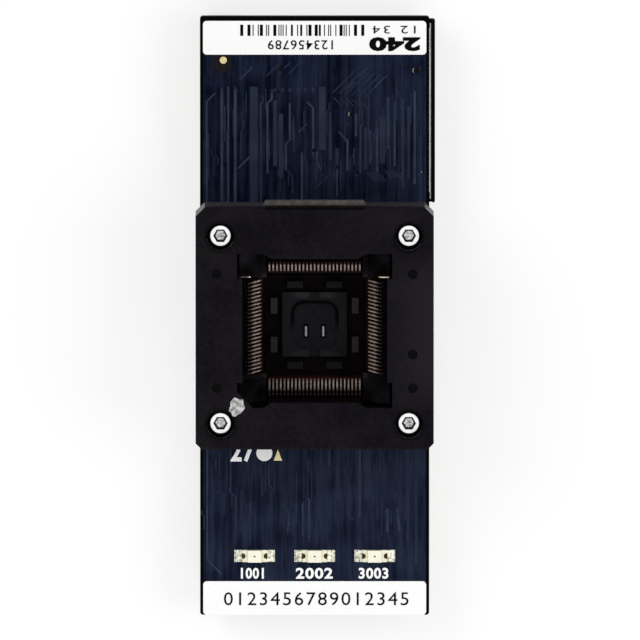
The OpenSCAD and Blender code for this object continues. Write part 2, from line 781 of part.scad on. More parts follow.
module label_at(y) {
    color("#f2f2ee") translate([0, y, board_top]) linear_extrude(height = label_t)
        round_rect(label_w, label_h, label_r);
}
module label_north() label_at(board_l / 2 - label_edge - label_h / 2);
module label_south() label_at(-board_l / 2 + label_h / 2);

// Chips on the board's underside

module chip_bodies(places, h) {
    for (p = places) translate([p[0] - chip_l / 2 + chip_cap_l, p[1] - chip_w / 2, plug_h - h])
        cube([chip_l - 2 * chip_cap_l, chip_w, h]);
}
module chip_ends(places, h) {
    for (p = places, s = [-1, 1])
        translate([p[0] + s * (chip_l - chip_cap_l) / 2 - chip_cap_l / 2, p[1] - chip_w / 2, plug_h - h])
            cube([chip_cap_l, chip_w, h]);
}
module bypass_capacitors() color("#a08560") chip_bodies(capacitor_places, cap_h);
module lamp_resistors() color("#202022") chip_bodies(resistor_places, resistor_h);
module chip_end_caps() {
    color(bright_steel) {
        chip_ends(capacitor_places, cap_h);
        chip_ends(resistor_places, resistor_h);
    }
}

circuit_board();
socket_base();
package_nest();
nest_pad_contacts();
carrier_east();
carrier_north();
carrier_west();
carrier_south();
blades_east();
blades_north();
blades_west();
blades_south();
fingers_east();
fingers_north();
fingers_west();
fingers_south();
socket_cover();
cover_springs();
socket_screws();
screw_washers();
screw_nuts();
plug_ne();
plug_nw();
plug_sw();
plug_se();
plug_contacts_ne();
plug_contacts_nw();
plug_contacts_sw();
plug_contacts_se();
ground_strip();
lamp_carriers();
lamp_lenses();
lamp_terminals();
label_north();
label_south();
bypass_capacitors();
lamp_resistors();
chip_end_caps();
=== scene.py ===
import math
import random

import bmesh
import bpy
from mathutils import Matrix, Vector


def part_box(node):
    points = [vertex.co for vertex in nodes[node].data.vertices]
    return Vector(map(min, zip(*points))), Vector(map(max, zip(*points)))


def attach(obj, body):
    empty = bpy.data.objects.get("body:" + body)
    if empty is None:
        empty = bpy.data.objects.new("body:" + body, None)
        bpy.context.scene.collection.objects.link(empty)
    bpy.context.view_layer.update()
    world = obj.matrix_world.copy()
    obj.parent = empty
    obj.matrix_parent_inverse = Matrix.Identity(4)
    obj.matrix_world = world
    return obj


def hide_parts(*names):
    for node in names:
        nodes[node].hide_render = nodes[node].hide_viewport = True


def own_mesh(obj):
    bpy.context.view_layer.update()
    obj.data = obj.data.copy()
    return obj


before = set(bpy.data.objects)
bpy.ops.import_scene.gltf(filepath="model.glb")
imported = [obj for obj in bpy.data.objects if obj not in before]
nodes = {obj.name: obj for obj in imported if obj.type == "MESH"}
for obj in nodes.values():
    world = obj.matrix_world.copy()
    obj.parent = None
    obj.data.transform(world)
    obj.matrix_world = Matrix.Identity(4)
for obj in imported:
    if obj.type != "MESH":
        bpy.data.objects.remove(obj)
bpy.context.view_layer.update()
mm = 0.001
boardLow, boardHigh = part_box("circuit_board")
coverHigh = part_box("socket_cover")[1]
nestLow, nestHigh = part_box("package_nest")
socketY = (nestLow.y + nestHigh.y) / 2
boardTop = boardHigh.z
boardUnder = boardLow.z
print("frame:", len(nodes), "nodes loaded")


# Shader sockets with sums written as Python

class Wire:
    def __init__(self, tree, socket):
        self.tree = tree
        self.socket = socket

    def add(self, kind, settings=None, sockets=None, out=0):
        node = self.tree.nodes.new("ShaderNode" + kind)
        for name, value in (settings or {}).items():
            setattr(node, name, value)
        for name, value in (sockets or {}).items():
            feed(self.tree, node.inputs[name], value)
        return Wire(self.tree, node.outputs[out])

    def maths(self, operation, first, second):
        return self.add("Math", {"operation": operation}, {0: first, 1: second})

    def __add__(self, other):
        return self.maths("ADD", self, other)

    def __sub__(self, other):
        return self.maths("SUBTRACT", self, other)

    def __mul__(self, other):
        return self.maths("MULTIPLY", self, other)

    def __rsub__(self, other):
        return self.maths("SUBTRACT", other, self)

    __radd__ = __add__
    __rmul__ = __mul__


def feed(tree, socket, value):
    if isinstance(value, Wire):
        tree.links.new(value.socket, socket)
    else:
        socket.default_value = value


def rgb(colour):
    return (*colour, 1.0)


def mixed(factor, first, second):  # colour between two colours
    first, second = (rgb(c) if isinstance(c, tuple) else c for c in (first, second))
    return factor.add("Mix", {"data_type": "RGBA"}, {0: factor, 6: first, 7: second}, out=2)


def grain(place, scale, detail, stretch=(1, 1, 1)):  # noise from 0 to 1, scale per metre
    spread = place.add("Mapping", None, {"Vector": place, "Scale": stretch})
    return place.add("TexNoise", None, {"Vector": spread, "Scale": scale, "Detail": detail})


def ramped(value, low, high):  # 0 at low, 1 at high
    return value.add("MapRange", None, {0: value, 1: low, 2: high, 3: 0.0, 4: 1.0})


def between(value, ends):  # the same for a length and two distances in mm
    return ramped(value, ends[0] * mm, ends[1] * mm)


def axisOf(place, axis):
    return place.add("SeparateXYZ", None, {0: place}, out=axis)


def plain(value):  # without its sign
    return value.maths("ABSOLUTE", value, 0)


def larger(first, second):
    return first.maths("MAXIMUM", first, second)


def longest(first, second):  # long side of the right-angled triangle on two lengths
    return first.maths("SQRT", first * first + second * second, 0)


def facingOf(place):
    return place.add("NewGeometry", out="True Normal")


def softEdge(place, radius):  # normal of edges that are rounded by this radius
    return place.add("Bevel", {"samples": 6}, {"Radius": radius})


def edgeMask(place, rounded):  # 1 on rounded edges, 0 on flats
    sockets = {0: rounded, 1: facingOf(place)}
    along = place.add("VectorMath", {"operation": "DOT_PRODUCT"}, sockets, out="Value")
    return ramped(1 - along, *mouldLook["roundedEdgeTurn"])


def bumped(place, height, depth, normal=None):
    sockets = {"Height": height, "Distance": depth, "Strength": 1.0}
    if normal:
        sockets["Normal"] = normal
    return place.add("Bump", None, sockets)


def newFinish(name, **fixed):  # fixed shader values are set on the sockets themselves
    finish = bpy.data.materials.new(name)
    finish.use_nodes = True
    tree = finish.node_tree
    shader = tree.nodes["Principled BSDF"]
    for socket, value in fixed.items():
        shader.inputs[socket.replace("_", " ")].default_value = value
    start = tree.nodes.new("ShaderNodeTexCoord")
    return finish, shader, Wire(tree, start.outputs["Object"])


def dress(shader, **wires):
    for socket, wire in wires.items():
        wire.tree.links.new(wire.socket, shader.inputs[socket.replace("_", " ")])


# Finishes: a noise is its scale, detail and stretch, and a pair in mm is where a change begins and ends

maskLook = {
    "northDark": (0.001, 0.0026, 0.0098), "north": (0.0118, 0.0168, 0.035),
    "southDark": (0.0044, 0.0068, 0.0172), "south": (0.0162, 0.0222, 0.0445), "northTurn": (-17.0, 15.0),
    "rim": (0.0004, 0.0003, 0.0004), "sideRim": (0.5, 0.34), "endRim": (0.68, 0.56),
    "copper": [(0.4, 1500, 2, (1, 0.03, 0.03)), (0.25, 2600, 2, (1, 0.12, 0.12)), (0.35, 230, 3)],
    "copperShown": (0.4, 0.6), "eastFade": 2.4,  # shares and noises of inner copper, paler towards the east
    "laminate": (0.03, 0.026, 0.016), "laminateDark": (0.012, 0.01, 0.007),
    "plies": (9000, 1, (0.02, 0.02, 1)), "edgeTurn": (0.2, 0.6),
    "gloss": 0.02, "rough": 0.36, "roughSpread": 0.12, "edgeRough": 0.3, "dust": (900, 2),
    "peel": (2600, 2), "peelDepth": 0.000006,
}


def northShare(place):  # 0 on the south half of the board, 1 on the north half
    return between(axisOf(place, 1), maskLook["northTurn"])


def boardFinish():
    finish, shader, place = newFinish("solderMask", Specular_IOR_Level=maskLook["gloss"])
    x, y = axisOf(place, 0), axisOf(place, 1)
    shown = x * maskLook["eastFade"]
    for share, *noise in maskLook["copper"]:  # runs north to south
        shown = shown + grain(place, *noise) * share
    light = mixed(northShare(place), maskLook["south"], maskLook["north"])
    dark = mixed(northShare(place), maskLook["southDark"], maskLook["northDark"])
    mask = mixed(ramped(shown, *maskLook["copperShown"]), dark, light)
    rim = larger(between(boardHigh.x - plain(x), maskLook["sideRim"]),
                 between(boardHigh.y - plain(y), maskLook["endRim"]))
    mask = mixed(rim, mask, maskLook["rim"])
    edge = 1 - ramped(plain(axisOf(facingOf(place), 2)), *maskLook["edgeTurn"])
    cut = mixed(grain(place, *maskLook["plies"]), maskLook["laminateDark"], maskLook["laminate"])
    rough = grain(place, *maskLook["dust"]) * maskLook["roughSpread"] + maskLook["rough"]
    dress(shader, Base_Color=mixed(edge, mask, cut), Roughness=rough + edge * maskLook["edgeRough"],
          Normal=bumped(place, grain(place, *maskLook["peel"]), maskLook["peelDepth"]))
    return finish


traceLook = {
    "north": (0.037, 0.046, 0.077), "south": (0.033, 0.041, 0.068), "fade": 0.75,
    "patches": (420, 3), "patchTurn": (0.3, 0.7), "gloss": 0.03, "rough": 0.32, "roughSpread": 0.12,
    "peel": (3000, 2), "peelDepth": 0.000005,
}


def traceFinish(name, share):  # share of the full trace tone that shows through the mask
    finish, shader, place = newFinish(name, Specular_IOR_Level=traceLook["gloss"])
    tone = mixed(northShare(place), traceLook["south"], traceLook["north"])
    patchy = ramped(grain(place, *traceLook["patches"]), *traceLook["patchTurn"])
    dress(shader, Base_Color=mixed((1 - patchy * traceLook["fade"]) * share, maskLook["north"], tone),
          Roughness=patchy * traceLook["roughSpread"] + traceLook["rough"],
          Normal=bumped(place, grain(place, *traceLook["peel"]), traceLook["peelDepth"]))
    return finish


mouldLook = {
    "round": 0.00012, "clouds": (180, 4), "specks": (1500, 3), "speckShare": 0.4, "speckTurn": (0.38, 0.64),
    "grains": (7500, 2), "grainDepth": 0.000012, "roughSpread": 0.18, "coatRough": 0.25,
    "edgeWearAndHighlightShare": 0.5, "roundedEdgeTurn": (0.02, 0.25), "paleEdgeGain": 1.8, "paleEdgeLift": 0.003, "roundedEdgeGloss": 0.1,
}


def mouldFinish(name, dark, light, gloss, rough, shade=None, polish=None):
    fixed = {"Specular_IOR_Level": gloss, "Coat_Roughness": mouldLook["coatRough"]}
    finish, shader, place = newFinish(name, **fixed)
    rounded = softEdge(place, mouldLook["round"])
    edgeWearAndHighlight = edgeMask(place, rounded)
    cloudy = grain(place, *mouldLook["clouds"])
    specks = grain(place, *mouldLook["specks"])
    spread = cloudy * (1 - mouldLook["speckShare"]) + specks * mouldLook["speckShare"]
    tone = mixed(ramped(spread, *mouldLook["speckTurn"]), dark, light)
    # rounded edges are painted lighter: partly wear, partly a painted highlight
    edgeWearAndHighlightTone = tuple(c * mouldLook["paleEdgeGain"] + mouldLook["paleEdgeLift"] for c in light)
    tone = mixed(edgeWearAndHighlight * mouldLook["edgeWearAndHighlightShare"], tone, edgeWearAndHighlightTone)
    if shade:
        tone = shade(place, tone)
    dress(shader, Base_Color=tone,
          Roughness=cloudy * mouldLook["roughSpread"] + rough - edgeWearAndHighlight * mouldLook["roundedEdgeGloss"],
          Normal=bumped(place, grain(place, *mouldLook["grains"]), mouldLook["grainDepth"], rounded))
    if polish:
        dress(shader, Coat_Weight=polish(place))
    return finish


nestLook = {  # heights above the board and distances from the socket's middle in mm
    "floor": (0.0022, 0.0011, 0.0016), "floorLift": (1.65, 1.9),
    "rib": (0.022, 0.0195, 0.0195), "shadedEndRib": (0.0085, 0.0078, 0.0086), "ribLift": (2.6, 3.2),
    "ribAside": (4.5, 4.6), "guide": (0.0072, 0.0062, 0.0074), "guideLift": (4.1, 4.4),
    "corner": (0.0185, 0.0165, 0.02), "cornerOut": (16.9, 18.4),
    "patches": (700, 3), "patchTurn": (0.35, 0.6),
    "arch": (0.0009, 0.0008, 0.001), "archIn": 1.42, "archOut": (1.1, 1.42), "recessLift": (2.1, 2.2),
    "paintedHighlight": (0.03, 0.027, 0.03), "highlightEnd": (3.3, 3.75), "highlightIn": (0.5, 1.0), "highlightOut": (2.0, 3.4),
    "northTurn": (-1.2, 0.6), "highlightShare": 0.4, "cornerShare": 0.5,  # in the south, twice that in the north
}


def nestShade(place, tone):  # painted shade on the deep floor and in the recess's arch, painted highlight on the pedestal's ends, side ribs painted lit and end ribs shaded, dark guides with paler outer corners
    rise = axisOf(place, 2) - boardTop
    x = plain(axisOf(place, 0))
    y = axisOf(place, 1) - socketY
    northward = between(y, nestLook["northTurn"])
    # painted shadow along the north rim of the recess in the pedestal
    arm = [larger(value - nestLook["archIn"] * mm, 0.0) for value in (x, y)]
    recess = 1 - between(rise, nestLook["recessLift"])  # only the recess in the pedestal
    arch = between(longest(*arm), nestLook["archOut"]) * northward * recess
    tone = mixed(arch, tone, nestLook["arch"])
    ends = between(plain(y), nestLook["highlightEnd"])  # painted highlight on the north and south ends of the pedestal
    ends = ends * between(x, nestLook["highlightIn"]) * (1 - between(x, nestLook["highlightOut"]))
    tone = mixed(ends * (northward + 1) * nestLook["highlightShare"], tone, nestLook["paintedHighlight"])
    # painted light: the east and west ribs are painted lit, the north and south ribs painted shaded
    rib = mixed(between(x, nestLook["ribAside"]), nestLook["shadedEndRib"], nestLook["rib"])
    tone = mixed(between(rise, nestLook["ribLift"]), tone, rib)
    # painted shade: everything below the pedestal's height gets the dark floor tone
    tone = mixed(between(rise, nestLook["floorLift"]), nestLook["floor"], tone)
    patches = ramped(grain(place, *nestLook["patches"]), *nestLook["patchTurn"])
    corner = between(x + plain(y), nestLook["cornerOut"]) * patches * (northward + 1)
    guide = mixed(corner * nestLook["cornerShare"], nestLook["guide"], nestLook["corner"])
    return mixed(between(rise, nestLook["guideLift"]), tone, guide)


coverLook = {  # distances in mm: drops below the top face, the rest from the middle or from the part named
    "lip": (0.1, 0.088, 0.085), "lipReach": 0.9, "lipSide": (6.5, 6.7), "lipStart": (0.0, 0.15),
    "patches": (900, 3), "patchTurn": (0.3, 0.7), "patchShare": 0.5,
    "line": (0.0003, 0.0002, 0.0002), "lineIn": (0.36, 0.26),  # painted shadow line along the lip
    "wall": (0.036, 0.031, 0.033), "wallDrop": (2.4, 1.7),
    "sunk": (0.0014, 0.0012, 0.0015), "sunkDrop": (0.1, 0.05),  # floors of the mould marks
    "eastSheen": (0.0165, 0.0142, 0.018), "sheenEast": (9.0, 14.5), "sheenAlong": (5.5, 11.0),
    "sheenShare": 0.6, "polish": 0.4, "polishOut": (14.5, 14.7), "screwHoleShade": (1.78, 2.36),
    "uprightTurn": (0.2, 0.4), "squareTurn": (0.8, 0.9),  # how far a face points up or north
}


def coverPolish(place):  # outer walls are smoother than the grained top
    out = larger(plain(axisOf(place, 0)), plain(axisOf(place, 1) - socketY))
    upright = 1 - ramped(axisOf(facingOf(place), 2), *coverLook["uprightTurn"])
    return upright * between(out, coverLook["polishOut"]) * coverLook["polish"]


def coverShade(place, tone):  # painted highlight on the lip, painted light on the north wall, painted sheen on the east side, darker floors of the mould marks, and painted shade along the lip and around the screw holes
    x, y, z = (axisOf(place, i) for i in range(3))
    north, up = (axisOf(facingOf(place), i) for i in (1, 2))
    wallY = coverHigh.y - coverLook["lipReach"] * mm
    drop = coverHigh.z - z
    upright = 1 - ramped(up, *coverLook["uprightTurn"])
    # painted light: the north-facing wall is painted paler
    wall = ramped(north, *coverLook["squareTurn"]) * upright * (1 - between(drop, coverLook["wallDrop"]))
    sunk = ramped(up, *coverLook["squareTurn"]) * (1 - between(drop, coverLook["sunkDrop"]))
    # painted shadow in a line along the lip
    line = between(wallY - y, coverLook["lineIn"]) * (1 - between(plain(x), coverLook["lipSide"]))
    # painted sheen on the east side of the top
    eastSheen = 1 - between(plain(y - socketY), coverLook["sheenAlong"])
    eastSheen = eastSheen * between(x, coverLook["sheenEast"])
    # painted shade in a ring around each screw hole
    screwHoleShade = 1 - between(longest(*fromScrew(place)), coverLook["screwHoleShade"])
    tone = mixed(eastSheen * coverLook["sheenShare"], tone, coverLook["eastSheen"])
    tone = mixed(sunk, tone, coverLook["sunk"])
    tone = mixed(screwHoleShade, tone, coverLook["line"])
    tone = mixed(line * (1 - upright), tone, coverLook["line"])
    tone = mixed(wall, tone, coverLook["wall"])
    # painted highlight on the lip, in patches
    patches = ramped(grain(place, *coverLook["patches"]), *coverLook["patchTurn"])
    paintedHighlight = between(y - wallY, coverLook["lipStart"]) * (patches + 1) * coverLook["patchShare"]
    return mixed(paintedHighlight, tone, coverLook["lip"])


metalLook = {
    "round": 0.00006, "spotDetail": 4, "spotTurn": (0.4, 0.72), "spotRough": 0.2,
    "scratches": (5200, 2, (1, 0.12, 0.6)), "scratchDepth": 0.000004, "scratchRough": 0.1,
}


def metalFinish(name, bright, dull, rough, tarnish, metal=1.0, shade=None):
    finish, shader, place = newFinish(name, Metallic=metal)
    rounded = softEdge(place, metalLook["round"])
    spots = grain(place, tarnish, metalLook["spotDetail"])
    scratches = grain(place, *metalLook["scratches"])
    tone = mixed(ramped(spots, *metalLook["spotTurn"]), bright, dull)
    if shade:
        tone = shade(place, tone)
    rough = spots * metalLook["spotRough"] + scratches * metalLook["scratchRough"] + rough
    dress(shader, Base_Color=tone, Roughness=rough,
          Normal=bumped(place, scratches, metalLook["scratchDepth"], rounded))
    return finish


contactLook = {  # distances from the socket's middle in mm
    # tarnish and cut are the tones of painted shade
    "tarnish": (0.0095, 0.0013, 0.0005), "cut": (0.028, 0.009, 0.005),
    "shift": 0.17, "sideShift": 0.12, "aside": (-0.1, 0.1), "shadedSideTurn": (0.6, 0.8),
    "north": (8.6, 8.74), "south": (7.68, 8.25), "side": (8.06, 8.7),  # where painted shade begins on each row
    "northIn": (6.6, 6.7), "northOut": (7.42, 7.68),  # painted shade on the tips of the north row
}


def contactShade(place, tone):  # painted shade behind the shoulders, on the north tips and on the fingers' upright sides
    x = plain(axisOf(place, 0)) + contactLook["sideShift"] * mm
    y = axisOf(place, 1) - (socketY - contactLook["shift"] * mm)
    facing = facingOf(place)
    aside = between(x - plain(y), contactLook["aside"])  # 1 on the east and west rows
    # painted shade on the upright sides of each finger
    shadedSide = aside * plain(axisOf(facing, 1)) + (1 - aside) * plain(axisOf(facing, 0))
    tone = mixed(ramped(shadedSide, *contactLook["shadedSideTurn"]), tone, contactLook["cut"])
    dull = between(y, contactLook["northIn"]) * (1 - between(y, contactLook["northOut"]))
    for value, row in ((x, "side"), (y, "north"), (0 - y, "south")):
        dull = larger(dull, between(value, contactLook[row]))
    return mixed(dull, tone, contactLook["tarnish"])


screwLook = {  # distances from a screw's axis in mm
    "line": (0.02, 0.02, 0.021), "centre": (0.85, 0.85, 0.84), "dark": (0.14, 0.14, 0.14),
    "speckles": (5200, 3), "speckleTurn": (0.35, 0.65), "headRadius": 1.4,
    "lineIn": (0.55, 0.61), "lineOut": (0.81, 0.87), "edge": (1.28, 1.37),
}
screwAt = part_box("socket_screws")[1].x - screwLook["headRadius"] * mm  # from the socket's middle, both ways


def fromScrew(place):  # east and north distance from the nearest screw's axis
    return plain(plain(axisOf(place, 0)) - screwAt), plain(plain(axisOf(place, 1) - socketY) - screwAt)


def screwShade(place, tone):  # painted shade: a darker speckled floor in the six-sided socket, a dark line around it and a dark edge on the head
    x, y = fromScrew(place)
    tone = mixed(between(longest(x, y), screwLook["edge"]), tone, screwLook["line"])
    slope = math.radians(30)  # of the slanting flats
    across = larger(y, x * math.cos(slope) + y * math.sin(slope))
    speckles = ramped(grain(place, *screwLook["speckles"]), *screwLook["speckleTurn"])
    centre = mixed(speckles, screwLook["centre"], screwLook["dark"])
    tone = mixed(1 - between(across, screwLook["lineOut"]), tone, screwLook["line"])
    return mixed(1 - between(across, screwLook["lineIn"]), tone, centre)


stripLook = {"covered": (0.14, 0.09), "dark": (0.012, 0.012, 0.013)}  # mm from the strip's east edge


def stripShade(place, tone):  # the rail's shadow lies on the strip's east edge
    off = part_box("ground_strip")[1].x - axisOf(place, 0)
    return mixed(between(off, stripLook["covered"]), tone, stripLook["dark"])


padLook = {"half": 0.2, "ridge": (0.03, 0.1), "dull": (0.05, 0.05, 0.054)}  # mm across the blade


def padShade(place, tone):  # painted highlight: only the ridge along each pedestal blade is bright, the rest gets the dull tone
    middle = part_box("nest_pad_contacts")[1].x - padLook["half"] * mm
    off = plain(plain(axisOf(place, 0)) - middle)
    return mixed(between(off, padLook["ridge"]), tone, padLook["dull"])


softLook = {"round": 0.00004, "mottleDetail": 4, "mottleTurn": (0.3, 0.75), "roughSpread": 0.15}


def softFinish(name, tone, shade, rough, scale, depth, **fixed):  # resin, paper, ceramic and ink
    finish, shader, place = newFinish(name, **fixed)
    mottle = grain(place, scale, softLook["mottleDetail"])
    dress(shader, Base_Color=mixed(ramped(mottle, *softLook["mottleTurn"]), tone, shade),
          Roughness=mottle * softLook["roughSpread"] + rough,
          Normal=bumped(place, mottle, depth, softEdge(place, softLook["round"])))
    return finish


finishes = {
    "board": boardFinish(),
    "trace": traceFinish("maskedCopper", 1.0),
    "deepTrace": traceFinish("buriedCopper", 0.4),
    "black": mouldFinish("blackMould", (0.0032, 0.0027, 0.0038), (0.0058, 0.0049, 0.0064), 0.05, 0.46),
    "cover": mouldFinish("coverMould", (0.003, 0.0024, 0.0039), (0.0088, 0.0073, 0.0094), 0.03, 0.46,
                         coverShade, coverPolish),
    "nest": mouldFinish("nestMould", (0.0078, 0.0072, 0.0092), (0.0138, 0.0122, 0.015), 0.02, 0.42,
                        nestShade),
    "rail": mouldFinish("railMould", (0.0012, 0.0012, 0.0014), (0.0026, 0.0025, 0.0028), 0.012, 0.5),
    "carrier": mouldFinish("carrierMould", (0.013, 0.0026, 0.0016), (0.026, 0.0058, 0.0038), 0.03, 0.5),
    "contact": metalFinish("contactMetal", (0.98, 0.86, 0.81), (0.36, 0.23, 0.16), 0.34, 1900, 0.6,
                           contactShade),
    "seat": metalFinish("seatMetal", (0.22, 0.15, 0.11), (0.08, 0.04, 0.025), 0.4, 1900, 0.5, contactShade),
    "pad": metalFinish("padMetal", (0.34, 0.345, 0.35), (0.16, 0.16, 0.16), 0.3, 2600, 1.0, padShade),
    "gold": metalFinish("goldPlate", (0.6, 0.52, 0.3), (0.44, 0.36, 0.16), 0.3, 900),
    "steel": metalFinish("brightSteel", (0.92, 0.92, 0.915), (0.78, 0.78, 0.775), 0.22, 1100),
    "strip": metalFinish("dullStrip", (0.49, 0.49, 0.5), (0.31, 0.31, 0.32), 0.34, 900, 1.0, stripShade),
    "screw": metalFinish("screwSteel", (0.98, 0.98, 0.98), (0.94, 0.94, 0.94), 0.1, 1100, 1.0, screwShade),
    "solder": metalFinish("dullTin", (0.84, 0.84, 0.71), (0.12, 0.12, 0.06), 0.38, 2800, 0.4),
    "brass": metalFinish("paleBrass", (0.78, 0.7, 0.56), (0.5, 0.42, 0.3), 0.3, 1600),
    "substrate": softFinish("lampLaminate", (0.93, 0.9, 0.75), (0.84, 0.79, 0.58), 0.5, 1500, 0.000006),
    "lens": softFinish("milkyResin", (0.94, 0.91, 0.77), (0.87, 0.83, 0.66), 0.22, 1300, 0.000004,
                       Coat_Weight=0.4),
    # painted shade in the lamps' notches, and the dark of their dies
    "groove": softFinish("notchShadeAndDie", (0.012, 0.0085, 0.0012), (0.1, 0.068, 0.012), 0.6, 2600, 0.000006,
                         Specular_IOR_Level=0.02),
    "label": softFinish("labelStock", (0.93, 0.93, 0.925), (0.89, 0.89, 0.885), 0.55, 2600, 0.000003),
    "ceramic": softFinish("tanCeramic", (0.36, 0.25, 0.14), (0.28, 0.19, 0.1), 0.45, 1800, 0.000008),
    "film": softFinish("blackFilm", (0.012, 0.012, 0.013), (0.02, 0.02, 0.021), 0.35, 1800, 0.000006),
    "ink": softFinish("labelInk", (0.0012, 0.0012, 0.0014), (0.004, 0.004, 0.0045), 0.6, 3800, 0.000002,
                      Specular_IOR_Level=0.02),
    "silk": softFinish("silkInk", (0.96, 0.96, 0.96), (0.88, 0.88, 0.88), 0.6, 3200, 0.000004),
    "paint": softFinish("silverPaint", (0.6, 0.6, 0.59), (0.1, 0.1, 0.096), 0.36, 1900, 0.00004,
                        Metallic=0.35),
    "shadow": softFinish("shadowBlack", (0.0012, 0.0011, 0.0012), (0.003, 0.0025, 0.0025), 0.5, 1500,
                         0.000004, Specular_IOR_Level=0.05),
    "bare": softFinish("bareLaminate", (0.0062, 0.0046, 0.0062), (0.0092, 0.0068, 0.0084), 0.5, 900,
                       0.000004, Specular_IOR_Level=0.05),
}
print("finishes:", len(finishes), "made")

nodeFinish = {
    "circuit_board": "board", "package_nest": "nest", "label_north": "label", "label_south": "label",
    "lamp_carriers": "substrate", "lamp_lenses": "lens", "lamp_terminals": "solder",
    "chip_end_caps": "solder", "bypass_capacitors": "ceramic", "lamp_resistors": "film",
    "nest_pad_contacts": "pad", "socket_cover": "cover", "socket_screws": "screw", "ground_strip": "strip",
}
startFinish = {
    "socket_": "black", "plug_": "black", "plug_contacts": "gold", "carrier": "carrier", "blades": "seat",
    "fingers": "contact", "cover_springs": "steel", "screw_": "steel", "plug_ne": "rail",
}
for name, obj in nodes.items():
    key = nodeFinish.get(name)
    for start, look in startFinish.items():  # the longest fitting start comes last
        if name not in nodeFinish and name.startswith(start):
            key = look
    obj.data.materials.clear()
    obj.data.materials.append(finishes[key])
print("nodes dressed")


# New pieces

def meshOf(name, bm, smooth=False):
    bmesh.ops.recalc_face_normals(bm, faces=bm.faces)
    mesh = bpy.data.meshes.new(name)
    bm.to_mesh(mesh)
    bm.free()
    if smooth:
        mesh.shade_smooth()
    return mesh


def setPiece(name, mesh, look, body="board_assembly"):
    obj = bpy.data.objects.new(name, mesh)
    bpy.context.scene.collection.objects.link(obj)
    mesh.materials.append(finishes[look])
    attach(obj, body)
    return obj


def vertsOf(geometry):
    return [g for g in geometry if isinstance(g, bmesh.types.BMVert)]


def facesOf(geometry):
    return [g for g in geometry if isinstance(g, bmesh.types.BMFace)]


def raised(bm, faces, shift):  # pulls faces out into a solid
    grown = bmesh.ops.extrude_face_region(bm, geom=faces)["geom"]
    bmesh.ops.translate(bm, verts=vertsOf(grown), vec=shift)
    return grown


def meshOfCurve(name, curve):  # the curve's holder goes, its mesh stays
    holder = bpy.data.objects.new(name + "Curve", curve)
    bpy.context.scene.collection.objects.link(holder)
    bpy.context.view_layer.update()
    mesh = bpy.data.meshes.new_from_object(holder.evaluated_get(bpy.context.evaluated_depsgraph_get()))
    bpy.data.objects.remove(holder)
    mesh.name = name
    mesh.materials.clear()
    return mesh


# Copper traces under the mask: width, then corners (x, y) in mm from end to end

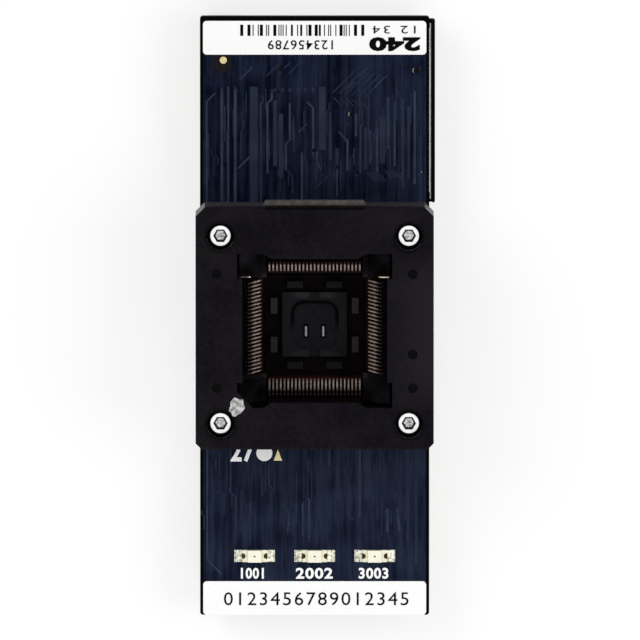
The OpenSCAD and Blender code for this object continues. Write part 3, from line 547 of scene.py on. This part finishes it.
traces = {
    "height": 0.022, "sink": 0.01, "step": 0.0001, "slantWidth": 0.24,
    "viaRadius": 0.23, "viaHeight": 0.06, "viaSides": 10, "viaTop": 0.85, "viaRim": 0.4, "viaDip": 0.7,
    "bright": [
        (0.26, (-14.36, 15.0), (-14.36, 28.6), (-13.2, 29.8)),
        (0.34, (-12.34, 15.0), (-12.34, 30.4)),
        (0.24, (-11.49, 15.0), (-11.49, 30.6)),
        (0.36, (-10.57, 15.0), (-10.57, 30.3)),
        (0.3, (-10.2, 19.7), (-8.5, 21.4)),
        (0.3, (-6.28, 19.0), (-6.28, 28.4), (-5.7, 29.0), (-5.7, 29.8)),
        (0.28, (-3.83, 19.6), (-3.83, 23.0), (-3.3, 23.5), (-3.3, 28.4)),
        (0.26, (-2.8, 23.4), (-2.8, 25.7), (-3.0, 25.9)),
        (0.3, (-1.7, 15.0), (-1.7, 21.8)),
        (0.26, (-2.1, 24.6), (-1.0, 25.7)),
        (0.3, (-0.21, 21.6), (-0.21, 27.8), (-1.0, 28.6)),
        (0.26, (0.95, 19.3), (0.3, 20.6), (0.3, 22.0)),
        (0.32, (4.36, 19.4), (4.36, 23.4), (3.2, 24.6)),
        (0.34, (5.5, 24.0), (5.5, 27.0)),
        (0.34, (8.3, 19.3), (8.3, 25.0)),
        (0.3, (9.79, 22.4), (9.79, 29.2)),
        (0.3, (10.64, 20.0), (10.64, 28.6)),
        (0.3, (13.3, 17.6), (13.3, 30.0)),
        (0.22, (2.98, 16.0), (2.98, 19.6)),
        (0.24, (5.9, 32.0), (7.0, 33.1)),
        (0.24, (4.2, 30.2), (5.3, 31.3)),
        (0.24, (8.0, 30.6), (9.3, 31.9)),
        (0.22, (-9.9, 31.6), (-8.3, 33.2)),
        (0.24, (-14.3, -15.5), (-14.3, -32.6), (-12.4, -34.6)),
        (0.28, (-4.3, -25.0), (-3.5, -26.2), (-3.5, -28.2)),
        (0.24, (-1.6, -25.0), (-1.6, -29.4)),
        (0.28, (-0.75, -24.4), (-0.75, -29.8)),
        (0.32, (6.0, -15.5), (6.0, -27.0)),
        (0.42, (9.68, -25.8), (9.68, -29.0)),
        (0.3, (11.0, -25.8), (11.3, -28.8)),
        (0.24, (1.95, -15.5), (1.95, -20.0)),
    ],
    "deep": [
        (1.05, (-8.1, 15.0), (-8.1, 30.6)),
        (0.26, (-7.15, 15.0), (-7.15, 28.6)),
        (0.5, (-5.25, 20.0), (-5.25, 28.8)),
        (0.6, (-4.5, 18.4), (-4.5, 27.0)),
        (0.24, (-3.83, 19.6), (-2.95, 18.7), (-2.95, 16.4)),
        (0.9, (1.0, 22.2), (1.0, 30.6)),
        (0.36, (2.05, 20.8), (2.05, 27.2)),
        (0.44, (2.98, 20.2), (2.98, 22.4)),
        (0.34, (6.1, 19.0), (6.1, 25.6)),
        (0.34, (6.75, 19.6), (6.75, 25.2)),
        (0.34, (7.4, 20.2), (7.4, 24.8)),
        (0.42, (11.7, 17.0), (11.7, 29.0)),
        (0.36, (12.5, 18.4), (12.5, 28.0)),
        (0.3, (14.1, 15.0), (14.1, 24.0)),
        (0.7, (9.0, 20.4), (9.0, 26.6)),
        (0.26, (0.0, 17.0), (1.7, 18.7)),
        (0.3, (-8.62, -25.0), (-8.62, -30.6)),
        (0.26, (-6.1, -19.8), (-6.1, -22.6), (-5.5, -23.2)),
        (0.22, (-2.45, -24.4), (-2.45, -28.0)),
        (0.26, (0.85, -15.5), (0.85, -20.2), (1.4, -20.8), (1.4, -25.0)),
        (0.9, (7.1, -15.5), (7.1, -24.4)),
        (0.3, (8.7, -15.5), (8.7, -21.0)),
        (0.3, (4.4, -21.4), (4.4, -26.6), (5.1, -27.3)),
        (0.34, (3.1, -17.0), (3.1, -24.6)),
        (0.3, (12.4, -18.0), (12.4, -30.2)),
        (0.3, (13.5, -15.5), (13.5, -33.2)),
        (0.26, (-11.2, -16.5), (-11.2, -23.6), (-10.5, -24.3), (-10.5, -29.0)),
    ],
    "slants": [  # first corner, second corner, how many, step in x, step in y
        ((2.4, 29.8), (5.4, 32.8), 6, 0.86, -0.12), ((2.5, 29.2), (3.6, 28.1), 5, 0.86, -0.1),
        ((6.9, 19.2), (8.1, 18.0), 4, 0.46, 0.0), ((9.3, 19.4), (10.3, 18.4), 4, 0.42, 0.0),
        ((-6.4, 32.0), (-4.8, 33.6), 3, 1.5, 0.2),
    ],
    "vias": [(-0.21, 21.3), (-5.7, 30.1), (4.36, 25.6), (13.9, 33.0), (13.9, 18.9), (11.7, 19.4),
             (5.6, 18.8), (1.0, 18.9), (-3.5, -28.6), (-0.75, -30.2), (9.68, -29.4), (-6.1, -19.4),
             (-13.0, -23.6)],
    "viaRow": (-5.3, 30.2, 7, 1.02),  # x, y, how many, step in x
}
threads = {
    "seed": 8, "half": 14.6, "step": 0.62, "wander": 0.2, "width": (0.1, 0.19), "length": (1.2, 6.0),
    "bendAt": 0.7, "lean": 0.35, "topRows": ((16.5, 31.5), (-29.5, -16.8)),
    "underRows": ((16.5, 31.5), (-14.0, 12.0), (-29.5, -16.8)),
}


def layTrace(bm, width, corners, z):
    half = width * mm / 2
    ends = [bm.verts.new((corners[0][0] * mm + side * half, corners[0][1] * mm, z)) for side in (-1, 1)]
    edge = bm.edges.new(ends)
    for (x0, y0), (x1, y1) in zip(corners, corners[1:]):
        grown = bmesh.ops.extrude_edge_only(bm, edges=[edge])["geom"]
        tips = vertsOf(grown)
        bmesh.ops.translate(bm, verts=tips, vec=((x1 - x0) * mm, (y1 - y0) * mm, 0))
        edge = next(g for g in grown if isinstance(g, bmesh.types.BMEdge) and set(g.verts) == set(tips))


def layVia(bm, x, y, z, up):
    rise = traces["viaHeight"] * mm
    radius = traces["viaRadius"] * mm
    place = Matrix.Translation((x * mm, y * mm, z)) @ up
    made = bmesh.ops.create_cone(bm, cap_ends=True, segments=traces["viaSides"], radius1=radius,
                                 radius2=radius * traces["viaTop"], depth=rise, matrix=place)
    cap = max((f for v in made["verts"] for f in v.link_faces),
              key=lambda f: (up.inverted() @ f.calc_center_median()).z)
    bmesh.ops.inset_individual(bm, faces=[cap], thickness=radius * traces["viaRim"])
    bmesh.ops.translate(bm, verts=cap.verts, vec=up @ Vector((0, 0, -rise * traces["viaDip"])))


def slantLines():
    for (x0, y0), (x1, y1), count, stepX, stepY in traces["slants"]:
        for i in range(count):
            yield traces["slantWidth"], (x0 + i * stepX, y0 + i * stepY), (x1 + i * stepX, y1 + i * stepY)


def threadLines(side):  # thin short runs of copper between the wide ones
    draw = random.Random(threads["seed"])
    for low, high in threads[side + "Rows"]:
        for i in range(round(2 * threads["half"] / threads["step"])):
            x = -threads["half"] + i * threads["step"] + draw.uniform(-threads["wander"], threads["wander"])
            length = draw.uniform(*threads["length"])
            y = draw.uniform(low, high - length)
            lean = draw.choice((0, 0, 0, -threads["lean"], threads["lean"]))
            width = draw.uniform(*threads["width"])
            bend = y + length * threads["bendAt"]
            yield width, (x, y), (x, bend), (x + lean, bend + threads["lean"]), (x + lean, y + length)


def makeTraces(name, lines, look, z, up):  # up is 1 on top of the board and -1 underneath
    bm = bmesh.new()
    for i, (width, *corners) in enumerate(lines):  # each a hair above the last, where two cross
        sink = traces["sink"] - i * traces["step"]
        layTrace(bm, width, [(x * up, y) for x, y in corners], z - up * sink * mm)
    raised(bm, bm.faces[:], (0, 0, up * traces["height"] * mm))
    setPiece(name, meshOf(name, bm), look)


def makeVias(name, z, up):
    x, y, count, step = traces["viaRow"]
    bm = bmesh.new()
    turn = Matrix() if up > 0 else Matrix.Rotation(math.pi, 4, "X")
    for viaX, viaY in traces["vias"] + [(x + i * step, y) for i in range(count)]:
        layVia(bm, viaX * up, viaY, z, turn)
    setPiece(name, meshOf(name, bm), "trace")


for side, z, up in (("top", boardTop, 1), ("under", boardUnder, -1)):
    makeTraces(side + "Traces", traces["bright"], "trace", z, up)
    makeTraces(side + "DeepTraces", [*threadLines(side), *traces["deep"], *slantLines()], "deepTrace", z, up)
    makeVias(side + "Vias", z, up)
print("traces laid")


# Printed figures

inkLook = {"thickness": 0.04, "smoothness": 3}


def inkText(name, text, size, x, y, z, look, turned, stretch, bold, spacing):
    curve = bpy.data.curves.new(name, "FONT")
    curve.body = text
    curve.size = size * mm
    curve.align_x = "CENTER"
    curve.align_y = "CENTER"
    curve.extrude = inkLook["thickness"] * mm / 2
    curve.offset = bold * mm
    curve.space_character = spacing
    curve.resolution_u = inkLook["smoothness"]
    mesh = meshOfCurve(name, curve)
    mesh.transform(Matrix.Translation((x * mm, y * mm, z + inkLook["thickness"] * mm / 2))
                   @ Matrix.Rotation(math.radians(turned), 4, "Z") @ Matrix.Diagonal((stretch, 1, 1, 1)))
    setPiece(name, mesh, look)


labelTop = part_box("label_north")[1].z
figures = [  # name, figures, height, x, y, surface, ink, turn, stretch, boldness, spacing
    ("captionWest", "1001", 1.95, -8.3, -34.52, boardTop, "silk", 0, 0.88, 0.06, 1.08),
    ("captionMiddle", "2002", 1.95, -0.05, -34.52, boardTop, "silk", 0, 1.18, 0.06, 1.1),
    ("captionEast", "3003", 1.95, 7.85, -34.52, boardTop, "silk", 0, 0.98, 0.06, 1.1),
    ("placeNumber", "27", 3.5, -9.65, -18.3, boardTop, "silk", 0, 0.85, 0.12, 1.1),
    ("serialFigures", "123456789", 1.75, -1.75, 36.28, labelTop, "ink", 180, 1.04, 0.01, 1.12),
    ("seriesFigures", "12 34", 1.5, 10.75, 38.3, labelTop, "ink", 180, 1.5, 0.0, 1.25),
    ("groupFigure", "240", 2.3, 10.65, 36.4, labelTop, "ink", 180, 1.85, 0.13, 1.05),
    ("longFigures", "0123456789012345", 2.5, 0.25, -37.95, labelTop, "ink", 0, 1.08, 0.0, 1.16),
]
for figure in figures:
    inkText(*figure)

bars = {
    "from": -9.9, "to": 6.6, "y": 38.15, "height": 1.5, "count": 29, "thickness": 0.012, "seed": 11,
    "widths": ((1, 1, 2, 3), (1, 2, 3, 4)),  # of a bar and of a gap
}


def makeBars():
    bm = bmesh.new()
    draw = random.Random(bars["seed"])
    widths = [draw.choice(bars["widths"][i % 2]) for i in range(2 * bars["count"] - 1)]
    unit = (bars["to"] - bars["from"]) / sum(widths)
    x = bars["from"]
    for i, width in enumerate(widths):
        if i % 2 == 0:
            z = labelTop + bars["thickness"] * mm / 2
            middle = Vector(((x + width * unit / 2) * mm, bars["y"] * mm, z))
            size = Matrix.Diagonal((width * unit * mm, bars["height"] * mm, bars["thickness"] * mm, 1))
            bmesh.ops.create_cube(bm, size=1, matrix=Matrix.Translation(middle) @ size)
        x += width * unit
    return meshOf("labelBars", bm)


setPiece("labelBars", makeBars(), "ink")
print("figures printed:", len(figures))


# Marks on the board: gold dot in its opening, white disc and gold triangle beside the place number

marks = {  # finish, x, y, radius, height, number of sides, width as a share of length
    "targetBare": ("bare", -12.35, 33.75, 1.3, 0.03, 32, 1.0),
    "targetOpening": ("shadow", -12.15, 34.15, 0.66, 0.04, 32, 1.0),
    "targetDot": ("gold", -12.15, 34.15, 0.48, 0.06, 32, 1.0),
    "whiteDisc": ("silk", -6.7, -18.35, 1.07, 0.04, 32, 1.0),
    "pinOneTip": ("gold", -4.9, -18.85, 1.0, 0.04, 3, 0.66),
}
markBevel = 0.3  # as a share of a mark's height


def makeMark(name, look, x, y, radius, height, sides, narrow):
    bm = bmesh.new()
    place = Matrix.Translation((x * mm, y * mm, boardTop)) @ Matrix.Scale(narrow, 4, (1, 0, 0))
    bmesh.ops.create_circle(bm, cap_ends=True, segments=sides, radius=radius * mm, matrix=place)
    raised(bm, bm.faces[:], (0, 0, height * mm))
    rim = [e for e in bm.edges if all(v.co.z > boardTop + height * mm / 2 for v in e.verts)]
    bmesh.ops.bevel(bm, geom=rim, offset=height * markBevel * mm, affect="EDGES", segments=2, profile=0.5,
                    material=-1)
    setPiece(name, meshOf(name, bm), look)


for name, settings in marks.items():
    makeMark(name, *settings)

holes = {  # holes drawn as dark discs of painted shade, each over a disc offset west that shows as a painted glint, bright or dim: x, y, radius
    "bright": [(13.5, 32.8, 0.42), (4.85, 26.95, 0.3), (14.4, 19.25, 0.16)],
    "dull": [(-4.46, 33.0, 0.36), (11.4, 19.45, 0.17), (5.6, 19.15, 0.2), (1.05, 19.3, 0.19),
             (-0.1, 22.1, 0.26), (-4.9, 29.95, 0.24)],
    "rim": 0.1, "rimShare": 0.9, "rimHigh": 0.05, "high": 0.06, "sides": 16,
}


def makeDots(name, look, dots, high):
    bm = bmesh.new()
    for x, y, radius in dots:
        bmesh.ops.create_circle(bm, cap_ends=True, segments=holes["sides"], radius=radius * mm,
                                matrix=Matrix.Translation((x * mm, y * mm, boardTop)))
    raised(bm, bm.faces[:], (0, 0, high * mm))
    setPiece(name, meshOf(name, bm), look)


# painted glints, then dark discs of painted shade over them
for kind, look in (("bright", "strip"), ("dull", "trace")):
    rims = [(x - holes["rim"], y, radius * holes["rimShare"]) for x, y, radius in holes[kind]]
    makeDots(kind + "HoleGlints", look, rims, holes["rimHigh"])
makeDots("holeShadeDiscs", "shadow", holes["bright"] + holes["dull"], holes["high"])
print("marks set")


# Silver paint dab that marks contact one on the cover

dab = {
    "x": -10.35, "y": -11.0, "turn": -14, "wide": 0.9, "long": 1.32, "thick": 0.2, "seed": 4,
    "lobes": 0.12, "waves": (2, 3, 5, 7, 9), "ripple": 0.45, "rippleX": (5, 2), "rippleY": (4, 1),
    "around": 40, "rows": 16,
}


def makeDab():
    bm = bmesh.new()
    bmesh.ops.create_uvsphere(bm, u_segments=dab["around"], v_segments=dab["rows"], radius=1)
    draw = random.Random(dab["seed"])
    waves = [(k, draw.uniform(0, math.tau), dab["lobes"] / k ** 0.5) for k in dab["waves"]]
    (stepX, startX), (stepY, startY) = dab["rippleX"], dab["rippleY"]
    for v in bm.verts:
        angle = math.atan2(v.co.y, v.co.x)
        swell = 1 + sum(depth * math.sin(k * angle + phase) for k, phase, depth in waves)
        waved = math.sin(stepX * v.co.x + startX) * math.sin(stepY * v.co.y + startY)
        thick = dab["thick"] * (1 + dab["ripple"] * waved)
        v.co = Vector((v.co.x * swell * dab["wide"], v.co.y * swell * dab["long"], v.co.z * thick))
    cut = bmesh.ops.bisect_plane(bm, geom=bm.verts[:] + bm.edges[:] + bm.faces[:], plane_co=(0, 0, 0),
                                 plane_no=(0, 0, 1), clear_inner=True)["geom_cut"]
    bmesh.ops.edgeloop_fill(bm, edges=[g for g in cut if isinstance(g, bmesh.types.BMEdge)])
    place = Matrix.Translation((dab["x"] * mm, dab["y"] * mm, coverHigh.z))
    turn = Matrix.Rotation(math.radians(dab["turn"]), 4, "Z")
    bmesh.ops.transform(bm, verts=bm.verts[:], matrix=place @ turn @ Matrix.Scale(mm, 4))
    return meshOf("pinOneDab", bm, True)


setPiece("pinOneDab", makeDab(), "paint", "cover")


# Thin brass wires along the edges of the two north guides, a bright piece where the guides' edges show a
# painted glint

wires = {
    "radius": 0.12, "lift": 0.7, "from": 8.5, "to": 9.98, "y": 6.88,  # lift as a share of the radius
    "steps": 5, "sides": 8, "bend": 0.03, "seed": 3,
}


def makeWires():
    bm = bmesh.new()
    draw = random.Random(wires["seed"])
    radius = wires["radius"] * mm
    y = socketY + wires["y"] * mm
    run = (wires["to"] - wires["from"]) * mm / wires["steps"]
    for side in (-1, 1):
        start = Vector((side * wires["from"] * mm, y, nestHigh.z + radius * wires["lift"]))
        place = Matrix.Translation(start) @ Matrix.Rotation(math.pi / 2, 4, "Y")
        made = bmesh.ops.create_circle(bm, cap_ends=True, segments=wires["sides"], radius=radius,
                                       matrix=place)
        face = made["verts"][0].link_faces[0]
        for step in range(wires["steps"]):
            shift = (side * run, draw.uniform(-1, 1) * wires["bend"] * mm, 0)
            face = facesOf(raised(bm, [face], shift))[0]
    return meshOf("guideGlintWires", bm, True)


setPiece("guideGlintWires", makeWires(), "brass")


# Lamps: solder fillets, painted shade in the notches at both ends, and the mark of the die in each lens

lamps = {
    "count": 3, "length": 3.2, "filletSteps": 5, "filletOut": 0.92, "filletUp": 0.95, "filletWide": 0.94,
    "groove": 0.38, "grooveIn": 0.02, "grooveFlat": 0.35, "grooveSides": 24,
    "die": 0.24, "dieShape": 0.8, "dieRound": 0.06, "rise": 0.012,
}
lampLow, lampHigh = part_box("lamp_carriers")
padLow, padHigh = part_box("lamp_terminals")
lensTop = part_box("lamp_lenses")[1].z
lampPitch = (lampHigh.x - lampLow.x - lamps["length"] * mm) / (lamps["count"] - 1)
lampX = [(i - (lamps["count"] - 1) / 2) * lampPitch for i in range(lamps["count"])]
lampY = (lampLow.y + lampHigh.y) / 2
lampHalf = lampHigh.x - lampX[-1]


def makeFillets():
    bm = bmesh.new()
    reach = (padHigh.x - lampHigh.x) * lamps["filletOut"]
    rise = (lampHigh.z - padHigh.z) * lamps["filletUp"]
    width = (padHigh.y - padLow.y) * lamps["filletWide"]
    y, z = lampY - width / 2, padHigh.z
    angles = [math.pi / 2 * k / lamps["filletSteps"] for k in range(lamps["filletSteps"] + 1)]
    for middle in lampX:
        for side in (-1, 1):
            x = middle + side * lampHalf
            arc = [(x + side * reach * (1 - math.sin(a)), y, z + rise * (1 - math.cos(a))) for a in angles]
            face = bm.faces.new([bm.verts.new(corner) for corner in [*arc, (x, y, z)]])
            raised(bm, [face], (0, width, 0))
    return meshOf("lampFillets", bm)


def makeNotchShades():  # thin dark pieces that paint the shade in the half-round notches at the lamps' ends
    bm = bmesh.new()
    for middle in lampX:
        for side in (-1, 1):
            x = middle + side * (lampHalf - lamps["grooveIn"] * mm)
            turn = Matrix.Translation((x, lampY, lampHigh.z)) @ Matrix.Rotation(side * math.pi / 2, 4, "Z")
            made = bmesh.ops.create_circle(bm, cap_ends=True, segments=lamps["grooveSides"],
                                           radius=lamps["groove"] * mm, matrix=turn)
            face = made["verts"][0].link_faces[0]
            grown = raised(bm, [face], (0, 0, lamps["rise"] * mm))
            rims = {v for f in [face, *facesOf(grown)] if f.is_valid for v in f.verts}
            for v in rims | set(vertsOf(grown)):  # the outer half is flattened
                if (v.co.x - x) * side > 0:
                    v.co.x = x + (v.co.x - x) * lamps["grooveFlat"]
    return meshOf("lampNotchShades", bm)


def makeDies():
    bm = bmesh.new()
    die, rise = lamps["die"] * mm, lamps["rise"] * mm
    size = Matrix.Diagonal((die, die * lamps["dieShape"], rise, 1))
    for x in lampX:
        place = Matrix.Translation((x, lampY, lensTop + rise / 2))
        made = bmesh.ops.create_cube(bm, size=1, matrix=place @ size)
        edges = {e for v in made["verts"] for e in v.link_edges}
        upright = [e for e in edges if abs(e.verts[0].co.z - e.verts[1].co.z) > rise / 2]
        bmesh.ops.bevel(bm, geom=upright, offset=lamps["dieRound"] * mm, affect="EDGES", segments=2,
                        profile=0.5, material=-1)
    return meshOf("lampDies", bm)


setPiece("lampFillets", makeFillets(), "solder")
setPiece("lampNotchShades", makeNotchShades(), "groove")
setPiece("lampDies", makeDies(), "groove")
print("lamps soldered")


# Cover springs: round wire wound in place of the plain spring parts

springLow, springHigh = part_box("cover_springs")
coil = {"outside": 2.2, "wire": 0.3, "turns": 9, "closed": 1.2, "steps": 28, "roundness": 2, "keep": 0.783}


def coilHeight(turn, length):  # closed first and last turns, open between
    closed = coil["closed"] * coil["wire"] * mm
    openTurns = coil["turns"] - 2
    openStep = (length - coil["wire"] * mm - 2 * closed) / openTurns
    if turn < 1:
        return turn * closed
    if turn > openTurns + 1:
        return openStep * openTurns + (turn - openTurns) * closed
    return closed + (turn - 1) * openStep


def makeCoils():
    curve = bpy.data.curves.new("coverCoils", "CURVE")
    curve.dimensions = "3D"
    curve.bevel_depth = coil["wire"] * mm / 2
    curve.bevel_resolution = coil["roundness"]
    curve.use_fill_caps = True
    radius = (coil["outside"] - coil["wire"]) * mm / 2
    inset = coil["outside"] * mm / 2
    length = springHigh.z - springLow.z
    count = coil["turns"] * coil["steps"]
    for cx in (springLow.x + inset, springHigh.x - inset):
        for cy in (springLow.y + inset, springHigh.y - inset):
            line = curve.splines.new("POLY")
            line.points.add(count)
            for i, point in enumerate(line.points):
                angle = math.tau * i / coil["steps"]
                rise = coilHeight(i / coil["steps"], length) + coil["wire"] * mm / 2
                x, y = cx + radius * math.cos(angle), cy + radius * math.sin(angle)
                point.co = (x, y, springLow.z + rise, 1)
    mesh = meshOfCurve("coverCoils", curve)
    mesh.shade_smooth()
    return mesh


coils = setPiece("coverCoils", makeCoils(), "steel")
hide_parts("cover_springs")
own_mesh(coils)
print("springs wound")


# Under the board: threads on the screws' ends and the soldered tails of the contacts

screwEnds = {
    "radius": 0.8, "pitch": 0.35, "proud": 0.06, "sunk": 0.05, "short": 0.12, "steps": 16,
    "crestAt": 0.4, "footAt": 0.8,  # as shares of the pitch
}


def makeThreads():
    bm = bmesh.new()
    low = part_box("socket_screws")[0].z + screwEnds["short"] * mm
    pitch = screwEnds["pitch"] * mm
    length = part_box("screw_nuts")[0].z - low - pitch
    steps = round(length / pitch * screwEnds["steps"])
    for x in (-screwAt, screwAt):
        for y in (socketY - screwAt, socketY + screwAt):
            root = x + (screwEnds["radius"] - screwEnds["sunk"]) * mm
            crest = x + (screwEnds["radius"] + screwEnds["proud"]) * mm
            corners = [(root, y, low), (crest, y, low + pitch * screwEnds["crestAt"]),
                       (root, y, low + pitch * screwEnds["footAt"])]
            face = bm.faces.new([bm.verts.new(corner) for corner in corners])
            bmesh.ops.spin(bm, geom=[*face.verts, *face.edges, face], cent=(x, y, 0), axis=(0, 0, 1),
                           dvec=(0, 0, length / steps), angle=math.tau * length / pitch, steps=steps)
    return meshOf("screwThreads", bm)


tails = {  # two staggered lines on each side of the socket, and a joint's outline as radius and depth
    "lines": (8.8, 10.2), "count": 25, "pitch": 0.5, "sides": 8, "merge": 0.00001,
    "outline": [(0, 0), (0.34, 0), (0.31, 0.03), (0.2, 0.09), (0.12, 0.26), (0.09, 0.44), (0, 0.46)],
}


def makeTails():
    bm = bmesh.new()
    points = [bm.verts.new((radius * mm, 0, boardUnder - depth * mm)) for radius, depth in tails["outline"]]
    line = [bm.edges.new(pair) for pair in zip(points, points[1:])]
    bmesh.ops.spin(bm, geom=[*points, *line], cent=(0, 0, 0), axis=(0, 0, 1), angle=math.tau,
                   steps=tails["sides"], use_merge=True)
    bmesh.ops.remove_doubles(bm, verts=bm.verts[:], dist=tails["merge"] * mm)
    joint = bm.verts[:] + bm.edges[:] + bm.faces[:]
    for side in range(4):
        turn = Matrix.Rotation(side * math.pi / 2, 3, "Z")
        for i in range(tails["count"]):
            along = (i - (tails["count"] - 1) / 2) * tails["pitch"]
            spot = turn @ Vector((tails["lines"][i % 2] * mm, along * mm, 0)) + Vector((0, socketY, 0))
            copied = bmesh.ops.duplicate(bm, geom=joint)["geom"]
            bmesh.ops.translate(bm, verts=vertsOf(copied), vec=spot)
    bmesh.ops.delete(bm, geom=vertsOf(joint), context="VERTS")
    return meshOf("tailJoints", bm, True)


setPiece("screwThreads", makeThreads(), "steel")
setPiece("tailJoints", makeTails(), "solder")
print("underside soldered")


# Floor, light and camera

def seenRays(tree):  # 1 for rays that show the white backdrop
    path = tree.nodes.new("ShaderNodeLightPath").outputs
    kinds = ("Is Camera Ray", "Is Glossy Ray", "Is Transmission Ray")
    camera, glossy, through = (Wire(tree, path[kind]) for kind in kinds)
    return camera + glossy + through


floorLook = {"size": 3.0, "tone": (0.93, 0.93, 0.93), "share": 0.65, "glow": 1.04}


def makeFloor():
    bm = bmesh.new()
    bmesh.ops.create_grid(bm, x_segments=2, y_segments=2, size=floorLook["size"] / 2)
    floor = bpy.data.objects.new("floor", meshOf("floor", bm))
    bpy.context.scene.collection.objects.link(floor)
    paper = bpy.data.materials.new("studioPaper")
    paper.use_nodes = True
    tree = paper.node_tree
    tree.nodes.clear()
    seen = seenRays(tree)
    matt = seen.add("BsdfDiffuse", None, {"Color": rgb(floorLook["tone"])})
    white = seen.add("Emission", None, {"Color": (1, 1, 1, 1), "Strength": floorLook["glow"]})
    both = seen.add("MixShader", None, {0: seen * floorLook["share"], 1: matt, 2: white})
    output = tree.nodes.new("ShaderNodeOutputMaterial")
    tree.links.new(both.socket, output.inputs["Surface"])
    floor.data.materials.append(paper)


lights = {  # direction, distance, size and power in watts
    "key": ((0.75, -0.05, 0.8), 0.8, 0.55, 2.2),
    "fill": ((-0.65, 0.5, 0.8), 0.8, 0.6, 2.4),
    "front": ((0.1, -0.9, 0.75), 0.9, 0.6, 2.7),
}


def makeLights(target):
    for name, (direction, distance, size, power) in lights.items():
        lamp = bpy.data.lights.new(name, "AREA")
        lamp.shape = "DISK"
        lamp.size = size
        lamp.energy = power
        holder = bpy.data.objects.new(name, lamp)
        bpy.context.scene.collection.objects.link(holder)
        way = Vector(direction).normalized()
        holder.location = target + way * distance
        holder.rotation_euler = way.to_track_quat("Z", "Y").to_euler()


worldLook = {"fill": 0.42, "seen": 1.0}


def makeWorld():
    world = bpy.data.worlds.new("studio")
    bpy.context.scene.world = world
    world.use_nodes = True
    tree = world.node_tree
    back = tree.nodes["Background"]
    back.inputs["Color"].default_value = (1, 1, 1, 1)
    strength = seenRays(tree) * (worldLook["seen"] - worldLook["fill"]) + worldLook["fill"]
    feed(tree, back.inputs["Strength"], strength)


view = {  # tilt in degrees, distances along the view in metres, the rest in mm
    "tilt": 5.5, "distance": 3.5, "near": 0.01, "far": 20, "frameWidth": 85.17, "offX": 0.71, "offY": -0.55,
    "sensor": 36.0,
}


def makeCamera():
    data = bpy.data.cameras.new("camera")
    data.sensor_width = view["sensor"]
    data.lens = view["sensor"] * view["distance"] / (view["frameWidth"] * mm)
    data.clip_start = view["near"]
    data.clip_end = view["far"]
    camera = bpy.data.objects.new("camera", data)
    bpy.context.scene.collection.objects.link(camera)
    tilt = math.radians(view["tilt"])
    target = Vector((view["offX"] * mm, view["offY"] * mm, boardTop))
    camera.location = target + view["distance"] * Vector((0, math.sin(tilt), math.cos(tilt)))
    camera.rotation_euler = (-tilt, 0, 0)
    bpy.context.scene.camera = camera


makeFloor()
makeLights(Vector((0, 0, boardTop)))
makeWorld()
makeCamera()
bpy.context.scene.view_settings.view_transform = "Standard"
print("studio set")
